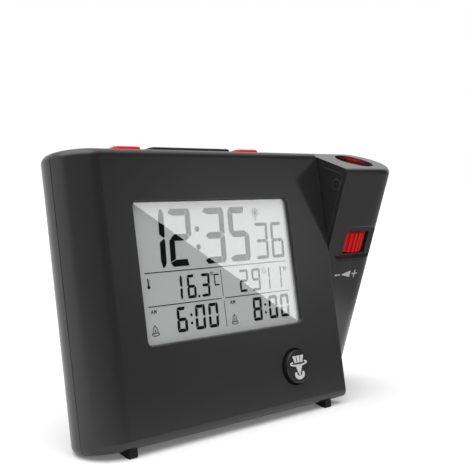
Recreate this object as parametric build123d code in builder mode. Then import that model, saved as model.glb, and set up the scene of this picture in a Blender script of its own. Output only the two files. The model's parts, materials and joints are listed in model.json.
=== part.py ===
from build123d import *
import os
from math import cos, radians, sin, sqrt, tan

# Projection alarm clock: a leaning body with a display, and a projector arm that turns on the body's
# right end. Millimetres and degrees, +Z up, front towards -Y. The origin lies on the surface the clock
# stands on, below the middle of its overall width and depth.

# ---------------------------------------------------------------- body
lean_angle = 10.25          # the front panel leans back by this from upright
panel_height = 93.6         # along the leaning panel
body_width = 111.5
body_depth = 23.6           # the body's left end and the arm's right end are rounded by half of this
wall = 2.0
seam_depth = 10.0           # where the front and rear housings meet, behind the front face
rim_round = 2.8             # rounding of the top and bottom rims
seam_bevel = 0.25           # on both housings, so that the seam shows as a fine groove
ground_clearance = 0.8      # lowest point of the housings above the surface

# ---------------------------------------------------------------- display
opening_left = 22.2         # from the body's left end to the opening
opening_right = 18.7        # from the opening to the body's right side
opening_bottom = 30.0       # from the panel's bottom edge to the opening
opening_top = 17.2          # from the opening to the panel's top edge
opening_corner = 2.0
opening_taper = 18.0        # degrees of draft on the opening's walls
window_seat = 1.2           # depth of the seat behind the front face
window_lip = 1.0            # the window reaches this far behind the opening's edge
glass_lip = 1.6             # the same for the display glass
glass_thickness = 2.2
backlight_thickness = 2.6
frame_wall = 1.2
slip_gap = 0.2              # between pieces that slip into each other
board_depth = 8.0           # front of the main board behind the front face
board_thickness = 1.2
board_bottom = 5.4
board_rim = 0.4             # laminate left outside a post's footprint
frame_room = 0.6            # between the display frame and the board's posts
lug_length = 5.0            # locating lugs on the frame's long sides
lug_rise = 0.6
lug_spacing = 40.0
strip_height = 1.1
strip_edge = 0.22           # between the contact strip and the display glass's bottom edge
chip_side = 12.0
chip_height = 1.6
chip_drop = 12.3            # below the opening's middle
crystal_length = 8.0
crystal_width = 2.6
capacitor_radius = 2.5
capacitor_height = 6.0
capacitor_inset = 12.0      # from the board's left edge
capacitor_y = 14.9
capacitor_pitch = 12.0

# ---------------------------------------------------------------- keys
key_gap = 0.25              # between a key and its opening
key_flange = 0.8            # thickness and overhang of the flange that keeps a key in
key_rest_gap = 0.15         # between the flange and the wall at rest
key_travel_room = 0.8       # between a key's stem and its switch at rest
top_key_front = 5.5         # depth of the top keys' front side
top_key_depth = 12.0
top_key_rise = 1.7
top_key_corner = 1.8
top_key_round = 0.7
key_board_drop = 10.0       # from the top keys' flanges down to the key board
key_board_gap = 1.0         # between the main board and the key board
key_board_overhang = 8.0    # past the outer keys' middles
key_board_ledge = 5.0       # length of each ledge under the key board
key_board_ledge_depth = 4.2
key_board_ledge_thickness = 1.4
key_switch_shift = 3.0      # the switches lie this far behind the keys' middle
stem_side = 4.0
snooze_length = 36.0
snooze_shift = 2.8          # the snooze key's middle lies this far to the left of the opening's
alarm_key_length = 11.0
alarm_one_space = 3.7       # between the snooze key and each alarm key
alarm_two_space = 3.1
projection_button_radius = 5.95
projection_button_rise = 1.7
projection_button_x = -25.4
projection_button_height = 14.9
projection_button_round = 0.5
rear_key_radius = 3.5
rear_key_rise = 0.9
rear_key_round = 0.4
rear_key_pitch = 13.0
rear_key_shift = 16.5       # the row's middle lies this far to the left of the opening's
rear_key_space = 9.5        # from the antenna rod's axis down to the rear keys' row
rear_stem_radius = 1.5
front_stem_radius = 2.0
rear_key_names = ["mode_key", "plus_key", "minus_key", "signal_key"]
slider_travel = 3.0
slider_x = -28.0
slider_cap_length = 5.0
slider_cap_height = 3.0
slider_flange_height = 6.0
slider_flange_margin = 5.0  # the flange reaches this far past the travel at each end
slider_stem_side = 4.0
lever_side = 1.6
lever_room = 1.2            # depth of the slot that the slide switch's lever runs in
lever_socket = 1.8          # depth of the socket in the slider's stem
lever_gap = 0.1             # between the lever and its socket
slot_gap = 0.3              # between the lever and its slot

# ---------------------------------------------------------------- switches
switch_size = 6.0
switch_height = 3.6
plunger_radius = 1.7
plunger_height = 1.4
front_switch_height = 1.6
slide_switch_height = 4.0
slide_switch_width = 5.0
slide_switch_wall = 1.5     # outside the lever's travel

# ---------------------------------------------------------------- battery box
cell_radius = 7.1
cell_length = 50.5
cell_gap = 0.4
spring_room = 5.5
plate_room = 1.0
nub_length = 1.0
nub_radius = 2.7
plate_side = 9.0
plate_thickness = 0.4
dimple_radius = 2.2
spring_turns = 4
spring_radius = 4.0
spring_wire = 1.0
spring_taper = 0.5          # each turn is narrower by this
spring_preload = 0.7        # the springs end this far short of the cells' room
bay_front = 22.9            # behind the panel's bottom edge
box_right = 26.5            # from the body's right side to the battery box
box_round = 3.0
door_thickness = 1.8
door_gap = 0.3
door_pin_radius = 0.6
door_pin_length = 1.2
door_pin_gap = 0.05
grip_length = 14.0
grip_width = 0.8
grip_rise = 0.4
grip_pitch = 2.0
grip_drop = 4.0             # from the door's top edge to the middle grip rib

# ---------------------------------------------------------------- feet and fasteners
foot_height = 2.8           # the panel's bottom edge stands this high
front_foot_width = 3.0
front_foot_front = 1.2      # depth of the foot's front behind the front face
front_foot_length = 7.4
front_foot_tip = 2.2        # flat length that rests on the surface
front_foot_inset_left = 13.0
front_foot_inset_right = 9.3
rear_foot_radius = 4.0
rear_foot_sink = 0.6
rear_foot_spread = 44.0
rear_foot_shift = 3.0       # behind the middle of the battery bay's depth
rear_foot_round = 0.3
foot_toe = 0.5              # bevel at the front feet's toe
foot_gap = 0.1              # between a rear foot and its recess
screw_radius = 1.1
screw_head_radius = 2.3
screw_head_height = 1.6
post_radius = 3.0
post_room = 3.0             # between a post and the inside of the top or bottom wall
post_side_room = 1.5        # the same at the right side
post_end_shift = 2.0        # the left posts lie this far left of the rounded end's axis
board_post_radius = 2.0
thread_grip = 0.1           # the housing screws' pilot holes are narrower by this
small_thread_grip = 0.3     # the same for the board's and the arm's screws
thread_slack = 0.15         # the modelled threads are narrower than the screws' outside by this
board_screw_slack = 0.35    # the same for the board's and the arm's screws
small_head_step = 0.4       # their heads are smaller by this
head_room = 0.3             # round a screw head in its recess

# ---------------------------------------------------------------- arm and pivot
arm_tilt = 27.3             # the arm stands this far forward of the panel
arm_gap = 0.6
arm_width = 33.2
arm_top_rise = 34.5         # from the pivot to the arm's top
arm_swing_radius = 57.0     # the arm's lower end is rounded about the pivot
pivot_height = 58.9         # along the panel
arm_rim_round = 2.2
arm_top_wall = 2.4
cover_thickness = 2.0
shaft_radius = 5.0
shaft_bore = 3.0
shaft_flange_radius = 7.4
shaft_flange = 2.0
bush_radius = 7.5
bush_flange_radius = 9.0
running_gap = 0.08
washer_thickness = 0.9
washer_gap = 0.1
clip_radius = 7.2
clip_groove = 0.8
shaft_end = 1.2             # length of shaft left past the clip
clip_opening = 0.6          # at each side, narrower than the groove by this

# ---------------------------------------------------------------- projector
lens_x = 18.0               # from the body's right side to the optical axis
lens_back = 0.5             # the optical axis lies this far behind the arm's mid depth
lens_opening_radius = 7.7
barrel_radius = 7.35
barrel_bore = 6.2
barrel_ledge = 0.8          # the barrel's ledge and the collar reach this far in
barrel_bottom = 2.6         # heights here are along the arm from the pivot
barrel_top = 32.6
lens_seat = 28.4
lens_thickness = 2.0
lens_crown = 1.8
collar_height = 1.6
collar_lift = 0.55          # the collar bears on the lens's dome, this far above its rim
guide_gap = 0.1
press_gap = 0.02            # between pieces that are pressed together
tube_wall = 1.05
tube_top = 22.0
lamp_house_top = -6.0
lamp_house_bottom = -30.0
lamp_house_size = 16.0
lamp_house_wall = 1.4
ring_radius = 11.1
ring_rib_depth = 0.9
ring_rib_count = 32
ring_bottom = -0.1
ring_length = 8.2
ring_end_gap = 0.5
guide_pin_radius = 0.9
focus_travel = 1.5          # each way
recess_left = 5.0           # from the body's right side to the finger recesses in front of and behind the ring
recess_bottom = -2.5
recess_height = 13.6
recess_depth = 2.0
recess_corner = 6.0         # rounding of their upper left corner
recess_low_corner = 3.0     # and of the lower one
recess_taper = 35.0         # degrees of draft on their walls
recess_bevel = 0.35         # bevel along their rims
window_left = 11.8          # the ring shows in the front recess from here
window_right = 25.2         # to here
band_wall = 1.7             # wall left behind the recesses
shelf_thickness = 1.4
shelf_gap = 0.05            # between the shelves and the projector tube
ring_chamfer = 0.3
ring_groove = 1.3           # width of the grooves between the ribs
guide_groove = 1.1          # depth of the groove inside the ring
guide_slack = 0.2           # above and below the guide pins at the ends of their travel
led_radius = 2.5
led_rim = 0.4
led_rim_height = 1.0
led_height = 5.0
condenser_drop = 14.2       # from the lamp house's top to the condenser lens
condenser_thickness = 1.5
condenser_crown = 2.5
mask_thickness = 1.0        # of the lamp house's top wall
slide_gap = 0.1             # above the small display and at its sides
slide_thickness = 1.6
ledge_height = 1.0
ledge_step = 1.0

# ---------------------------------------------------------------- other pieces inside
buzzer_radius = 9.0
buzzer_height = 3.4
buzzer_shift = 18.0         # to the left of the opening's middle
buzzer_y = 41.9
sound_hole_radius = 0.8
sound_ring_radius = 4.0
sound_lift = 3.0            # the sound holes lie this far above the buzzer's middle
rod_radius = 3.5
rod_length = 50.0
rod_shift = 12.0            # to the left of the opening's middle
rod_drop = 20.2             # from the panel's top edge
rod_depth = 15.5
coil_length = 18.0
coil_wall = 1.0
jack_x = -12.0
jack_y = 16.9
jack_nose_radius = 3.9
jack_bore_radius = 2.85
jack_pin_radius = 1.0
jack_size = 10.0
jack_length = 12.0
jack_bore_length = 9.0
lead_radius = 0.9
lead_bend = 3.0
socket_height = 5.0
socket_overlap = 2.4        # of the lead's socket on the board
lead_gap = 0.7              # between the shaft's flange and the lead
rod_cradle_width = 2.4
rod_cradle_wall = 1.2
rod_cradle_inset = 4.0
rod_gap = 0.05
jack_gap = 0.1
jack_pin_setback = 0.6

os.makedirs("parts", exist_ok=True)

# ---------------------------------------------------------------- derived places
lean = radians(lean_angle)
opening_width = body_width - opening_left - opening_right
opening_height = panel_height - opening_bottom - opening_top
opening_x = -opening_right - opening_width / 2
opening_y = opening_bottom + opening_height / 2
snooze_x = opening_x - snooze_shift
alarm_one_x = snooze_x - snooze_length / 2 - alarm_one_space - alarm_key_length / 2
alarm_two_x = snooze_x + snooze_length / 2 + alarm_two_space + alarm_key_length / 2
rod_x = opening_x - rod_shift
rod_y = panel_height - rod_drop
rear_key_height = rod_y - rear_key_space
rear_key_first_x = opening_x - rear_key_shift - 1.5 * rear_key_pitch
buzzer_x = opening_x - buzzer_shift
end_radius = body_depth / 2
front_foot_left_x = front_foot_inset_left - body_width
front_foot_right_x = -front_foot_inset_right
feet_middle = (front_foot_left_x + front_foot_right_x) / 2
side_x = (body_width - arm_gap - arm_width) / 2
cell_pitch = 2 * cell_radius + cell_gap
bay_length = cell_length + spring_room + plate_room
bay_right = -box_right - wall
bay_left = bay_right - bay_length
bay_depth = 2 * cell_radius + 2 * cell_gap - 0.1
bay_floor = ground_clearance + wall
bay_height = cell_pitch + 2 * cell_radius + cell_gap
box_back = bay_front + bay_depth + door_thickness
box_top = bay_floor + bay_height + wall
rear_foot_back = bay_front + bay_depth / 2 + rear_foot_shift
forward = radians(arm_tilt - lean_angle)
arm_bottom = -sqrt(arm_swing_radius**2 - end_radius**2)
button_low = projection_button_height - projection_button_radius + projection_button_round
button_front = projection_button_rise - projection_button_round
foremost = button_low * sin(lean) - button_front * cos(lean) - projection_button_round
pivot_back = pivot_height * sin(lean) + end_radius * cos(lean)
rearmost = pivot_back - arm_bottom * sin(forward) + end_radius * cos(forward)
front_y = -(foremost + rearmost) / 2

panel = Plane(origin=(side_x, front_y, foot_height), x_dir=(1, 0, 0), z_dir=(0, -cos(lean), sin(lean)))


def behind(depth):
    """Plane parallel to the front face: x across, y up the panel, normal to the front."""
    return panel.offset(-depth)


def plan(height):
    """Plane across the body at a height along the panel: x across, y is the depth."""
    return Plane(origin=panel.from_local_coords((0, height, 0)), x_dir=(1, 0, 0), z_dir=panel.y_dir)


def side(x):
    """Plane across the body's length: x is the depth, y is up the panel, normal to the right."""
    return Plane(origin=panel.from_local_coords((x, 0, 0)), x_dir=-panel.z_dir, z_dir=(1, 0, 0))


pivot_point = panel.from_local_coords((0, pivot_height, -end_radius))
arm = Plane(origin=pivot_point, x_dir=(1, 0, 0), z_dir=(0, -cos(forward), -sin(forward)))


def arm_plan(height):
    """Plane across the arm at a height above the pivot: x across, y towards the back."""
    return Plane(origin=arm.from_local_coords((0, height, 0)), x_dir=(1, 0, 0), z_dir=arm.y_dir)


def arm_side(x):
    """Plane across the arm's width: x towards the back, y along the arm, normal to the right."""
    return Plane(origin=arm.from_local_coords((x, 0, 0)), x_dir=-arm.z_dir, z_dir=(1, 0, 0))


def finish(builder, label):
    """Label a finished piece and write its STEP file."""
    builder.part.label = label
    export_step(builder.part, f"parts/{label}.step")


def body_section(inset):
    """Return the body's plan section: square at the right end, round at the left end."""
    radius = end_radius - inset
    centre_x = end_radius - body_width
    with BuildSketch() as section:
        with BuildLine():
            Polyline(
                (centre_x, inset),
                (-inset, inset),
                (-inset, body_depth - inset),
                (centre_x, body_depth - inset),
            )
            ThreePointArc((centre_x, body_depth - inset), (centre_x - radius, end_radius), (centre_x, inset))
        make_face()
    return section.sketch


def arm_section(inset, left_inset):
    """Return the arm's plan section: flat at the left, round at the right."""
    radius = end_radius - inset
    centre_x = arm_gap + arm_width - end_radius
    left = arm_gap + left_inset
    with BuildSketch() as section:
        with BuildLine():
            Polyline((centre_x, radius), (left, radius), (left, -radius), (centre_x, -radius))
            ThreePointArc((centre_x, -radius), (centre_x + radius, 0), (centre_x, radius))
        make_face()
    return section.sketch


# ---------------------------------------------------------------- outer form of the body
body_outline = body_section(0)
cavity_outline = body_section(wall)

with BuildPart() as body_form:
    with BuildSketch(plan(0)):
        add(body_outline)
    extrude(amount=panel_height)
    rims = body_form.faces().sort_by(Axis(panel.origin, panel.y_dir))
    rim_edges = [e for e in rims[0].edges() + rims[-1].edges() if panel.to_local_coords(e.center()).X < -0.1]
    fillet(rim_edges, rim_round)
    with BuildSketch(Plane.XY.offset(ground_clearance)):
        Rectangle(3 * body_width, 4 * body_depth)
    extrude(amount=-2 * foot_height, mode=Mode.SUBTRACT)

with BuildPart() as body_cavity:
    with BuildSketch(plan(wall)):
        add(cavity_outline)
    extrude(amount=panel_height - 2 * wall)

top_key_middle = top_key_front + top_key_depth / 2
top_key_opening = top_key_depth + 2 * key_gap
top_keys = [
    ("alarm_one_key", alarm_one_x, alarm_key_length),
    ("snooze_key", snooze_x, snooze_length),
    ("alarm_two_key", alarm_two_x, alarm_key_length),
]
post_left = end_radius - body_width - post_end_shift
post_right = -wall - post_radius - post_side_room
post_low = wall + post_radius + post_room
post_high = panel_height - wall - post_radius - post_room
housing_posts = [
    (post_left, post_low),
    (post_left, post_high),
    (post_right, post_low),
    (post_right, post_high),
]
glass_right = opening_x + opening_width / 2 + glass_lip
frame_rim = glass_lip + slip_gap + frame_wall
board_left = opening_x - opening_width / 2 - frame_rim - frame_room - 2 * board_post_radius - board_rim
board_right = glass_right + slip_gap + frame_wall
board_post_left = board_left + board_rim + board_post_radius
board_post_right = board_right - board_post_radius
board_post_low = opening_bottom - frame_rim - frame_room - board_post_radius
board_post_high = opening_bottom + opening_height + frame_rim + frame_room + board_post_radius
board_top = board_post_high + board_post_radius + board_rim
board_posts = [
    (board_post_left, board_post_low),
    (board_post_left, board_post_high),
    (board_post_right, board_post_low),
    (board_post_right, board_post_high),
]

board_back = board_depth + board_thickness
key_board_height = panel_height - wall - key_flange - key_rest_gap - key_board_drop
key_board_front = board_back + key_board_gap
key_board_back = body_depth - wall - slip_gap / 2
key_board_left = alarm_one_x - key_board_overhang
key_board_right = alarm_two_x + key_board_overhang
key_board_x = (key_board_left + key_board_right) / 2
key_switch_depth = top_key_middle + key_switch_shift

# ---------------------------------------------------------------- openings that both housings share
with BuildPart() as shared_openings:
    with BuildSketch(plan(panel_height + 1)):
        for _, key_x, key_length in top_keys:
            with Locations((key_x, top_key_middle)):
                RectangleRounded(key_length + 2 * key_gap, top_key_opening, top_key_corner + key_gap)
    extrude(amount=-2 * wall)
    with BuildSketch(side(-wall - 1)):
        with Locations((end_radius, pivot_height)):
            Circle(bush_radius)
    extrude(amount=wall + 2)


# ---------------------------------------------------------------- housings
with BuildPart() as front_housing:
    add(body_form.part)
    split(bisect_by=behind(seam_depth), keep=Keep.TOP)
    seam_face = front_housing.faces().sort_by(Axis(panel.origin, panel.z_dir))[0]
    chamfer(seam_face.edges(), seam_bevel)
    add(body_cavity.part, mode=Mode.SUBTRACT)
    with BuildSketch(panel):
        with Locations((opening_x, opening_y)):
            RectangleRounded(opening_width, opening_height, opening_corner)
    extrude(amount=-window_seat, taper=opening_taper, mode=Mode.SUBTRACT)
    with BuildSketch(behind(window_seat)):
        with Locations((opening_x, opening_y)):
            Rectangle(opening_width + 2 * window_lip, opening_height + 2 * window_lip)
    extrude(amount=-wall, mode=Mode.SUBTRACT)
    with BuildSketch(panel):
        with Locations((projection_button_x, projection_button_height)):
            Circle(projection_button_radius + key_gap)
    extrude(amount=-1.5 * wall, mode=Mode.SUBTRACT)
    add(shared_openings.part, mode=Mode.SUBTRACT)
    with BuildSketch(behind(seam_depth)):
        with Locations(*housing_posts):
            Circle(post_radius)
    extrude(amount=seam_depth - wall)
    with BuildSketch(behind(board_depth)):
        with Locations(*board_posts):
            Circle(board_post_radius)
    extrude(amount=board_depth - wall)
    with BuildSketch(behind(seam_depth)):
        with Locations(*housing_posts):
            Circle(screw_radius - thread_grip)
    extrude(amount=seam_depth - 1.5 * wall, mode=Mode.SUBTRACT)
    with BuildSketch(behind(board_depth)):
        with Locations(*board_posts):
            Circle(screw_radius - small_thread_grip)
    extrude(amount=board_depth - 1.5 * wall, mode=Mode.SUBTRACT)
finish(front_housing, "front_housing")

with BuildPart() as battery_box:
    with BuildSketch(Plane.XY.offset(ground_clearance)):
        with Locations((side_x + (bay_left + bay_right) / 2, front_y + (bay_front - wall + box_back) / 2)):
            Rectangle(bay_length + 2 * wall, box_back - bay_front + wall)
    extrude(amount=box_top - ground_clearance)
    fillet(battery_box.faces().sort_by(Axis.Z)[-1].edges().filter_by(Axis.Y), box_round)
    fillet(battery_box.faces().sort_by(Axis.Y)[-1].edges(), box_round / 2)

rear_foot_places = [
    (side_x + feet_middle - rear_foot_spread / 2, front_y + rear_foot_back),
    (side_x + feet_middle + rear_foot_spread / 2, front_y + rear_foot_back),
]
bay_x = side_x + (bay_left + bay_right) / 2
door_axis_y = front_y + box_back - door_thickness / 2
door_axis_z = bay_floor + door_gap + door_thickness / 2

with BuildPart() as rear_housing:
    add(body_form.part)
    split(bisect_by=behind(seam_depth), keep=Keep.BOTTOM)
    seam_face = rear_housing.faces().sort_by(Axis(panel.origin, panel.z_dir))[-1]
    chamfer(seam_face.edges(), seam_bevel)
    add(body_cavity.part, mode=Mode.SUBTRACT)
    add(battery_box.part)
    with BuildSketch(Plane.XZ.offset(-front_y - bay_front)):
        with Locations((bay_x, bay_floor + bay_height / 2)):
            Rectangle(bay_length, bay_height)
    extrude(amount=-2 * bay_depth, mode=Mode.SUBTRACT)
    with BuildSketch(Plane.YZ.offset(bay_x)):
        with Locations((door_axis_y, door_axis_z)):
            Circle(door_pin_radius + door_pin_gap)
    extrude(amount=bay_length / 2 + door_pin_length + 0.2, both=True, mode=Mode.SUBTRACT)
    add(shared_openings.part, mode=Mode.SUBTRACT)
    with BuildSketch(behind(seam_depth)):
        with Locations(*housing_posts):
            Circle(post_radius)
    extrude(amount=-(body_depth - seam_depth - wall / 2))
    with BuildSketch(behind(seam_depth - 1)):
        with Locations(*housing_posts):
            Circle(screw_radius + head_room)
    extrude(amount=-body_depth, mode=Mode.SUBTRACT)
    with BuildSketch(behind(body_depth - screw_head_height - wall)):
        with Locations(*housing_posts):
            Circle(screw_head_radius + head_room)
    extrude(amount=-body_depth, mode=Mode.SUBTRACT)
    # openings of the rear keys, the slider, the jack and the buzzer's sound holes
    with BuildSketch(behind(body_depth + 1)):
        for number in range(len(rear_key_names)):
            with Locations((rear_key_first_x + number * rear_key_pitch, rear_key_height)):
                Circle(rear_key_radius + key_gap)
        with Locations((slider_x, rear_key_height)):
            SlotOverall(2 * slider_travel + slider_cap_length + 1.0, slider_cap_height + 2 * key_gap)
        with Locations((jack_x, jack_y)):
            Circle(jack_nose_radius + jack_gap)
        with Locations((buzzer_x, buzzer_y + sound_lift)):
            Circle(sound_hole_radius)
            with PolarLocations(sound_ring_radius, 6):
                Circle(sound_hole_radius)
    extrude(amount=wall + 1.5, mode=Mode.SUBTRACT)
    # cradles of the antenna rod
    with BuildSketch(behind(body_depth - wall)):
        with Locations((rod_x, rod_y)):
            with GridLocations(rod_length - 2 * rod_cradle_inset, 1, 2, 1):
                Rectangle(rod_cradle_width, 2 * rod_radius + 2 * rod_cradle_wall)
    extrude(amount=body_depth - wall - rod_depth)
    with BuildSketch(side(rod_x)):
        with Locations((rod_depth, rod_y)):
            Circle(rod_radius + rod_gap)
    extrude(amount=rod_length / 2 + 3, both=True, mode=Mode.SUBTRACT)
    # ledges under the key board
    with BuildSketch(plan(key_board_height - board_thickness)):
        with Locations((key_board_x, key_board_back - key_board_ledge_depth / 2 + slip_gap)):
            with GridLocations(key_board_right - key_board_left - key_board_ledge, 1, 2, 1):
                Rectangle(key_board_ledge, key_board_ledge_depth)
    extrude(amount=-key_board_ledge_thickness)
    # recesses of the rear feet
    with BuildSketch(Plane.XY):
        with Locations(*rear_foot_places):
            Circle(rear_foot_radius + foot_gap)
    extrude(amount=ground_clearance + rear_foot_sink, mode=Mode.SUBTRACT)
finish(rear_housing, "rear_housing")

# ---------------------------------------------------------------- display
with BuildPart() as display_window:
    with BuildSketch(behind(window_seat + 0.05)):
        with Locations((opening_x, opening_y)):
            Rectangle(opening_width + 2 * window_lip - slip_gap, opening_height + 2 * window_lip - slip_gap)
    extrude(amount=-(wall - window_seat - 0.05))
finish(display_window, "display_window")

with BuildPart() as lcd_panel:
    with BuildSketch(behind(wall + 0.1)):
        with Locations((opening_x, opening_y)):
            Rectangle(opening_width + 2 * glass_lip, opening_height + 2 * glass_lip)
    extrude(amount=-glass_thickness)
finish(lcd_panel, "lcd_panel")

backlight_front = wall + 0.1 + glass_thickness + 0.1
with BuildPart() as backlight:
    with BuildSketch(behind(backlight_front)):
        with Locations((opening_x, opening_y)):
            Rectangle(opening_width + 2 * glass_lip, opening_height + 2 * glass_lip - 3.0)
    extrude(amount=-backlight_thickness)
    fillet(backlight.edges().filter_by(Axis(panel.origin, panel.z_dir)), 0.5)
finish(backlight, "backlight")

frame_outer_width = opening_width + 2 * frame_rim
frame_outer_height = opening_height + 2 * frame_rim
frame_inner_width = frame_outer_width - 2 * frame_wall
frame_inner_height = frame_outer_height - 2 * frame_wall
frame_bottom = opening_y - frame_outer_height / 2
with BuildPart() as display_frame:
    with BuildSketch(behind(wall + 0.1)):
        with Locations((opening_x, opening_y)):
            RectangleRounded(frame_outer_width, frame_outer_height, 1.0)
            Rectangle(frame_inner_width, frame_inner_height, mode=Mode.SUBTRACT)
    extrude(amount=-(board_depth - wall - 0.2))
    # locating lugs on the long sides
    with BuildSketch(behind(wall + 1.0)):
        with Locations((opening_x, frame_bottom), (opening_x, frame_bottom + frame_outer_height)):
            with GridLocations(lug_spacing, 1, 2, 1):
                Rectangle(lug_length, 2 * lug_rise)
    extrude(amount=-(board_depth - wall - 1.2))
finish(display_frame, "display_frame")

with BuildPart() as contact_strip:
    with BuildSketch(behind(wall + 0.1 + glass_thickness)):
        with Locations((opening_x, opening_bottom - glass_lip + strip_edge + strip_height / 2)):
            Rectangle(opening_width, strip_height)
    extrude(amount=-(board_depth - wall - 0.1 - glass_thickness))
finish(contact_strip, "contact_strip")

# ---------------------------------------------------------------- boards
board_x = (board_left + board_right) / 2
board_y = (board_bottom + board_top) / 2
with BuildPart() as main_board:
    with BuildSketch(behind(board_depth)):
        with Locations((board_x, board_y)):
            Rectangle(board_right - board_left, board_top - board_bottom)
        with Locations(*board_posts):
            Circle(screw_radius, mode=Mode.SUBTRACT)
    extrude(amount=-board_thickness)
finish(main_board, "main_board")

with BuildPart() as board_screws:
    with BuildSketch(behind(board_back)):
        with Locations(*board_posts):
            Circle(screw_head_radius - small_head_step)
    extrude(amount=-screw_head_height)
    with BuildSketch(behind(board_back)):
        with Locations(*board_posts):
            Circle(screw_radius - board_screw_slack)
    extrude(amount=board_back - 2 * wall)
finish(board_screws, "board_screws")

chip_y = opening_y - chip_drop
with BuildPart() as board_parts:
    with BuildSketch(behind(board_back)):
        with Locations((board_x, chip_y)):
            Rectangle(chip_side, chip_side)
    extrude(amount=-chip_height)
    with BuildSketch(behind(board_back)):
        with Locations((board_x + chip_side / 2 + crystal_length, chip_y)):
            SlotOverall(crystal_length, crystal_width)
    extrude(amount=-crystal_width)
    with BuildSketch(behind(board_back)):
        with Locations((board_left + capacitor_inset, capacitor_y + capacitor_pitch / 2)):
            with GridLocations(1, capacitor_pitch, 1, 2):
                Circle(capacitor_radius)
    extrude(amount=-capacitor_height)
finish(board_parts, "board_parts")

with BuildPart() as key_board:
    with BuildSketch(plan(key_board_height)):
        with Locations((key_board_x, (key_board_front + key_board_back) / 2)):
            Rectangle(key_board_right - key_board_left, key_board_back - key_board_front)
    extrude(amount=-board_thickness)
finish(key_board, "key_board")

with BuildPart() as key_switches:
    with BuildSketch(plan(key_board_height)):
        for _, key_x, _ in top_keys:
            with Locations((key_x, key_switch_depth)):
                Rectangle(switch_size, switch_size)
    extrude(amount=switch_height)
    with BuildSketch(plan(key_board_height + switch_height)):
        for _, key_x, _ in top_keys:
            with Locations((key_x, key_switch_depth)):
                Circle(plunger_radius)
    extrude(amount=plunger_height)
finish(key_switches, "key_switches")

stem_bottom = key_board_height + switch_height + plunger_height + key_travel_room
flange_top = panel_height - wall - key_rest_gap
for key_name, key_x, key_length in top_keys:
    with BuildPart() as top_key:
        with BuildSketch(plan(flange_top)):
            with Locations((key_x, top_key_middle)):
                RectangleRounded(key_length, top_key_depth, top_key_corner)
        extrude(amount=panel_height + top_key_rise - flange_top)
        cap_faces = top_key.faces().sort_by(Axis(panel.origin, panel.y_dir))
        fillet(cap_faces[-1].edges(), top_key_round)
        with BuildSketch(plan(flange_top)):
            with Locations((key_x, top_key_middle)):
                RectangleRounded(key_length + 2 * key_flange, top_key_depth + 2 * key_flange, top_key_corner)
        extrude(amount=-key_flange)
        with BuildSketch(plan(flange_top - key_flange)):
            with Locations((key_x, key_switch_depth)):
                Rectangle(stem_side, stem_side)
        extrude(amount=-(flange_top - key_flange - stem_bottom))
    finish(top_key, key_name)

# ---------------------------------------------------------------- front button
front_flange_depth = wall + key_rest_gap
front_stem_end = board_depth - front_switch_height - plunger_height - key_travel_room
with BuildPart() as projection_button:
    with BuildSketch(behind(front_flange_depth)):
        with Locations((projection_button_x, projection_button_height)):
            Circle(projection_button_radius)
    extrude(amount=front_flange_depth + projection_button_rise)
    button_face = projection_button.faces().sort_by(Axis(panel.origin, panel.z_dir))[-1]
    fillet(button_face.edges(), projection_button_round)
    with BuildSketch(behind(front_flange_depth)):
        with Locations((projection_button_x, projection_button_height)):
            Circle(projection_button_radius + key_gap + key_flange)
    extrude(amount=-key_flange)
    with BuildSketch(behind(front_flange_depth + key_flange)):
        with Locations((projection_button_x, projection_button_height)):
            Circle(front_stem_radius)
    extrude(amount=-(front_stem_end - front_flange_depth - key_flange))
finish(projection_button, "projection_button")

with BuildPart() as front_switch:
    with BuildSketch(behind(board_depth)):
        with Locations((projection_button_x, projection_button_height)):
            Rectangle(switch_size, switch_size)
    extrude(amount=front_switch_height)
    with BuildSketch(behind(board_depth - front_switch_height)):
        with Locations((projection_button_x, projection_button_height)):
            Circle(plunger_radius)
    extrude(amount=plunger_height)
finish(front_switch, "front_switch")

# ---------------------------------------------------------------- rear keys and slider
rear_flange_depth = body_depth - wall - key_rest_gap
rear_stem_end = board_back + switch_height + plunger_height + key_travel_room
rear_key_places = [rear_key_first_x + number * rear_key_pitch for number in range(len(rear_key_names))]
for key_name, key_x in zip(rear_key_names, rear_key_places):
    with BuildPart() as rear_key:
        with BuildSketch(behind(rear_flange_depth)):
            with Locations((key_x, rear_key_height)):
                Circle(rear_key_radius)
        extrude(amount=-(body_depth + rear_key_rise - rear_flange_depth))
        fillet(rear_key.faces().sort_by(Axis(panel.origin, panel.z_dir))[0].edges(), rear_key_round)
        with BuildSketch(behind(rear_flange_depth)):
            with Locations((key_x, rear_key_height)):
                Circle(rear_key_radius + key_flange)
        extrude(amount=key_flange)
        with BuildSketch(behind(rear_flange_depth - key_flange)):
            with Locations((key_x, rear_key_height)):
                Circle(rear_stem_radius)
        extrude(amount=rear_flange_depth - key_flange - rear_stem_end)
    finish(rear_key, key_name)

with BuildPart() as rear_switches:
    with BuildSketch(behind(board_back)):
        for key_x in rear_key_places:
            with Locations((key_x, rear_key_height)):
                Rectangle(switch_size, switch_size)
    extrude(amount=-switch_height)
    with BuildSketch(behind(board_back + switch_height)):
        for key_x in rear_key_places:
            with Locations((key_x, rear_key_height)):
                Circle(plunger_radius)
    extrude(amount=-plunger_height)
finish(rear_switches, "rear_switches")

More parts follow.
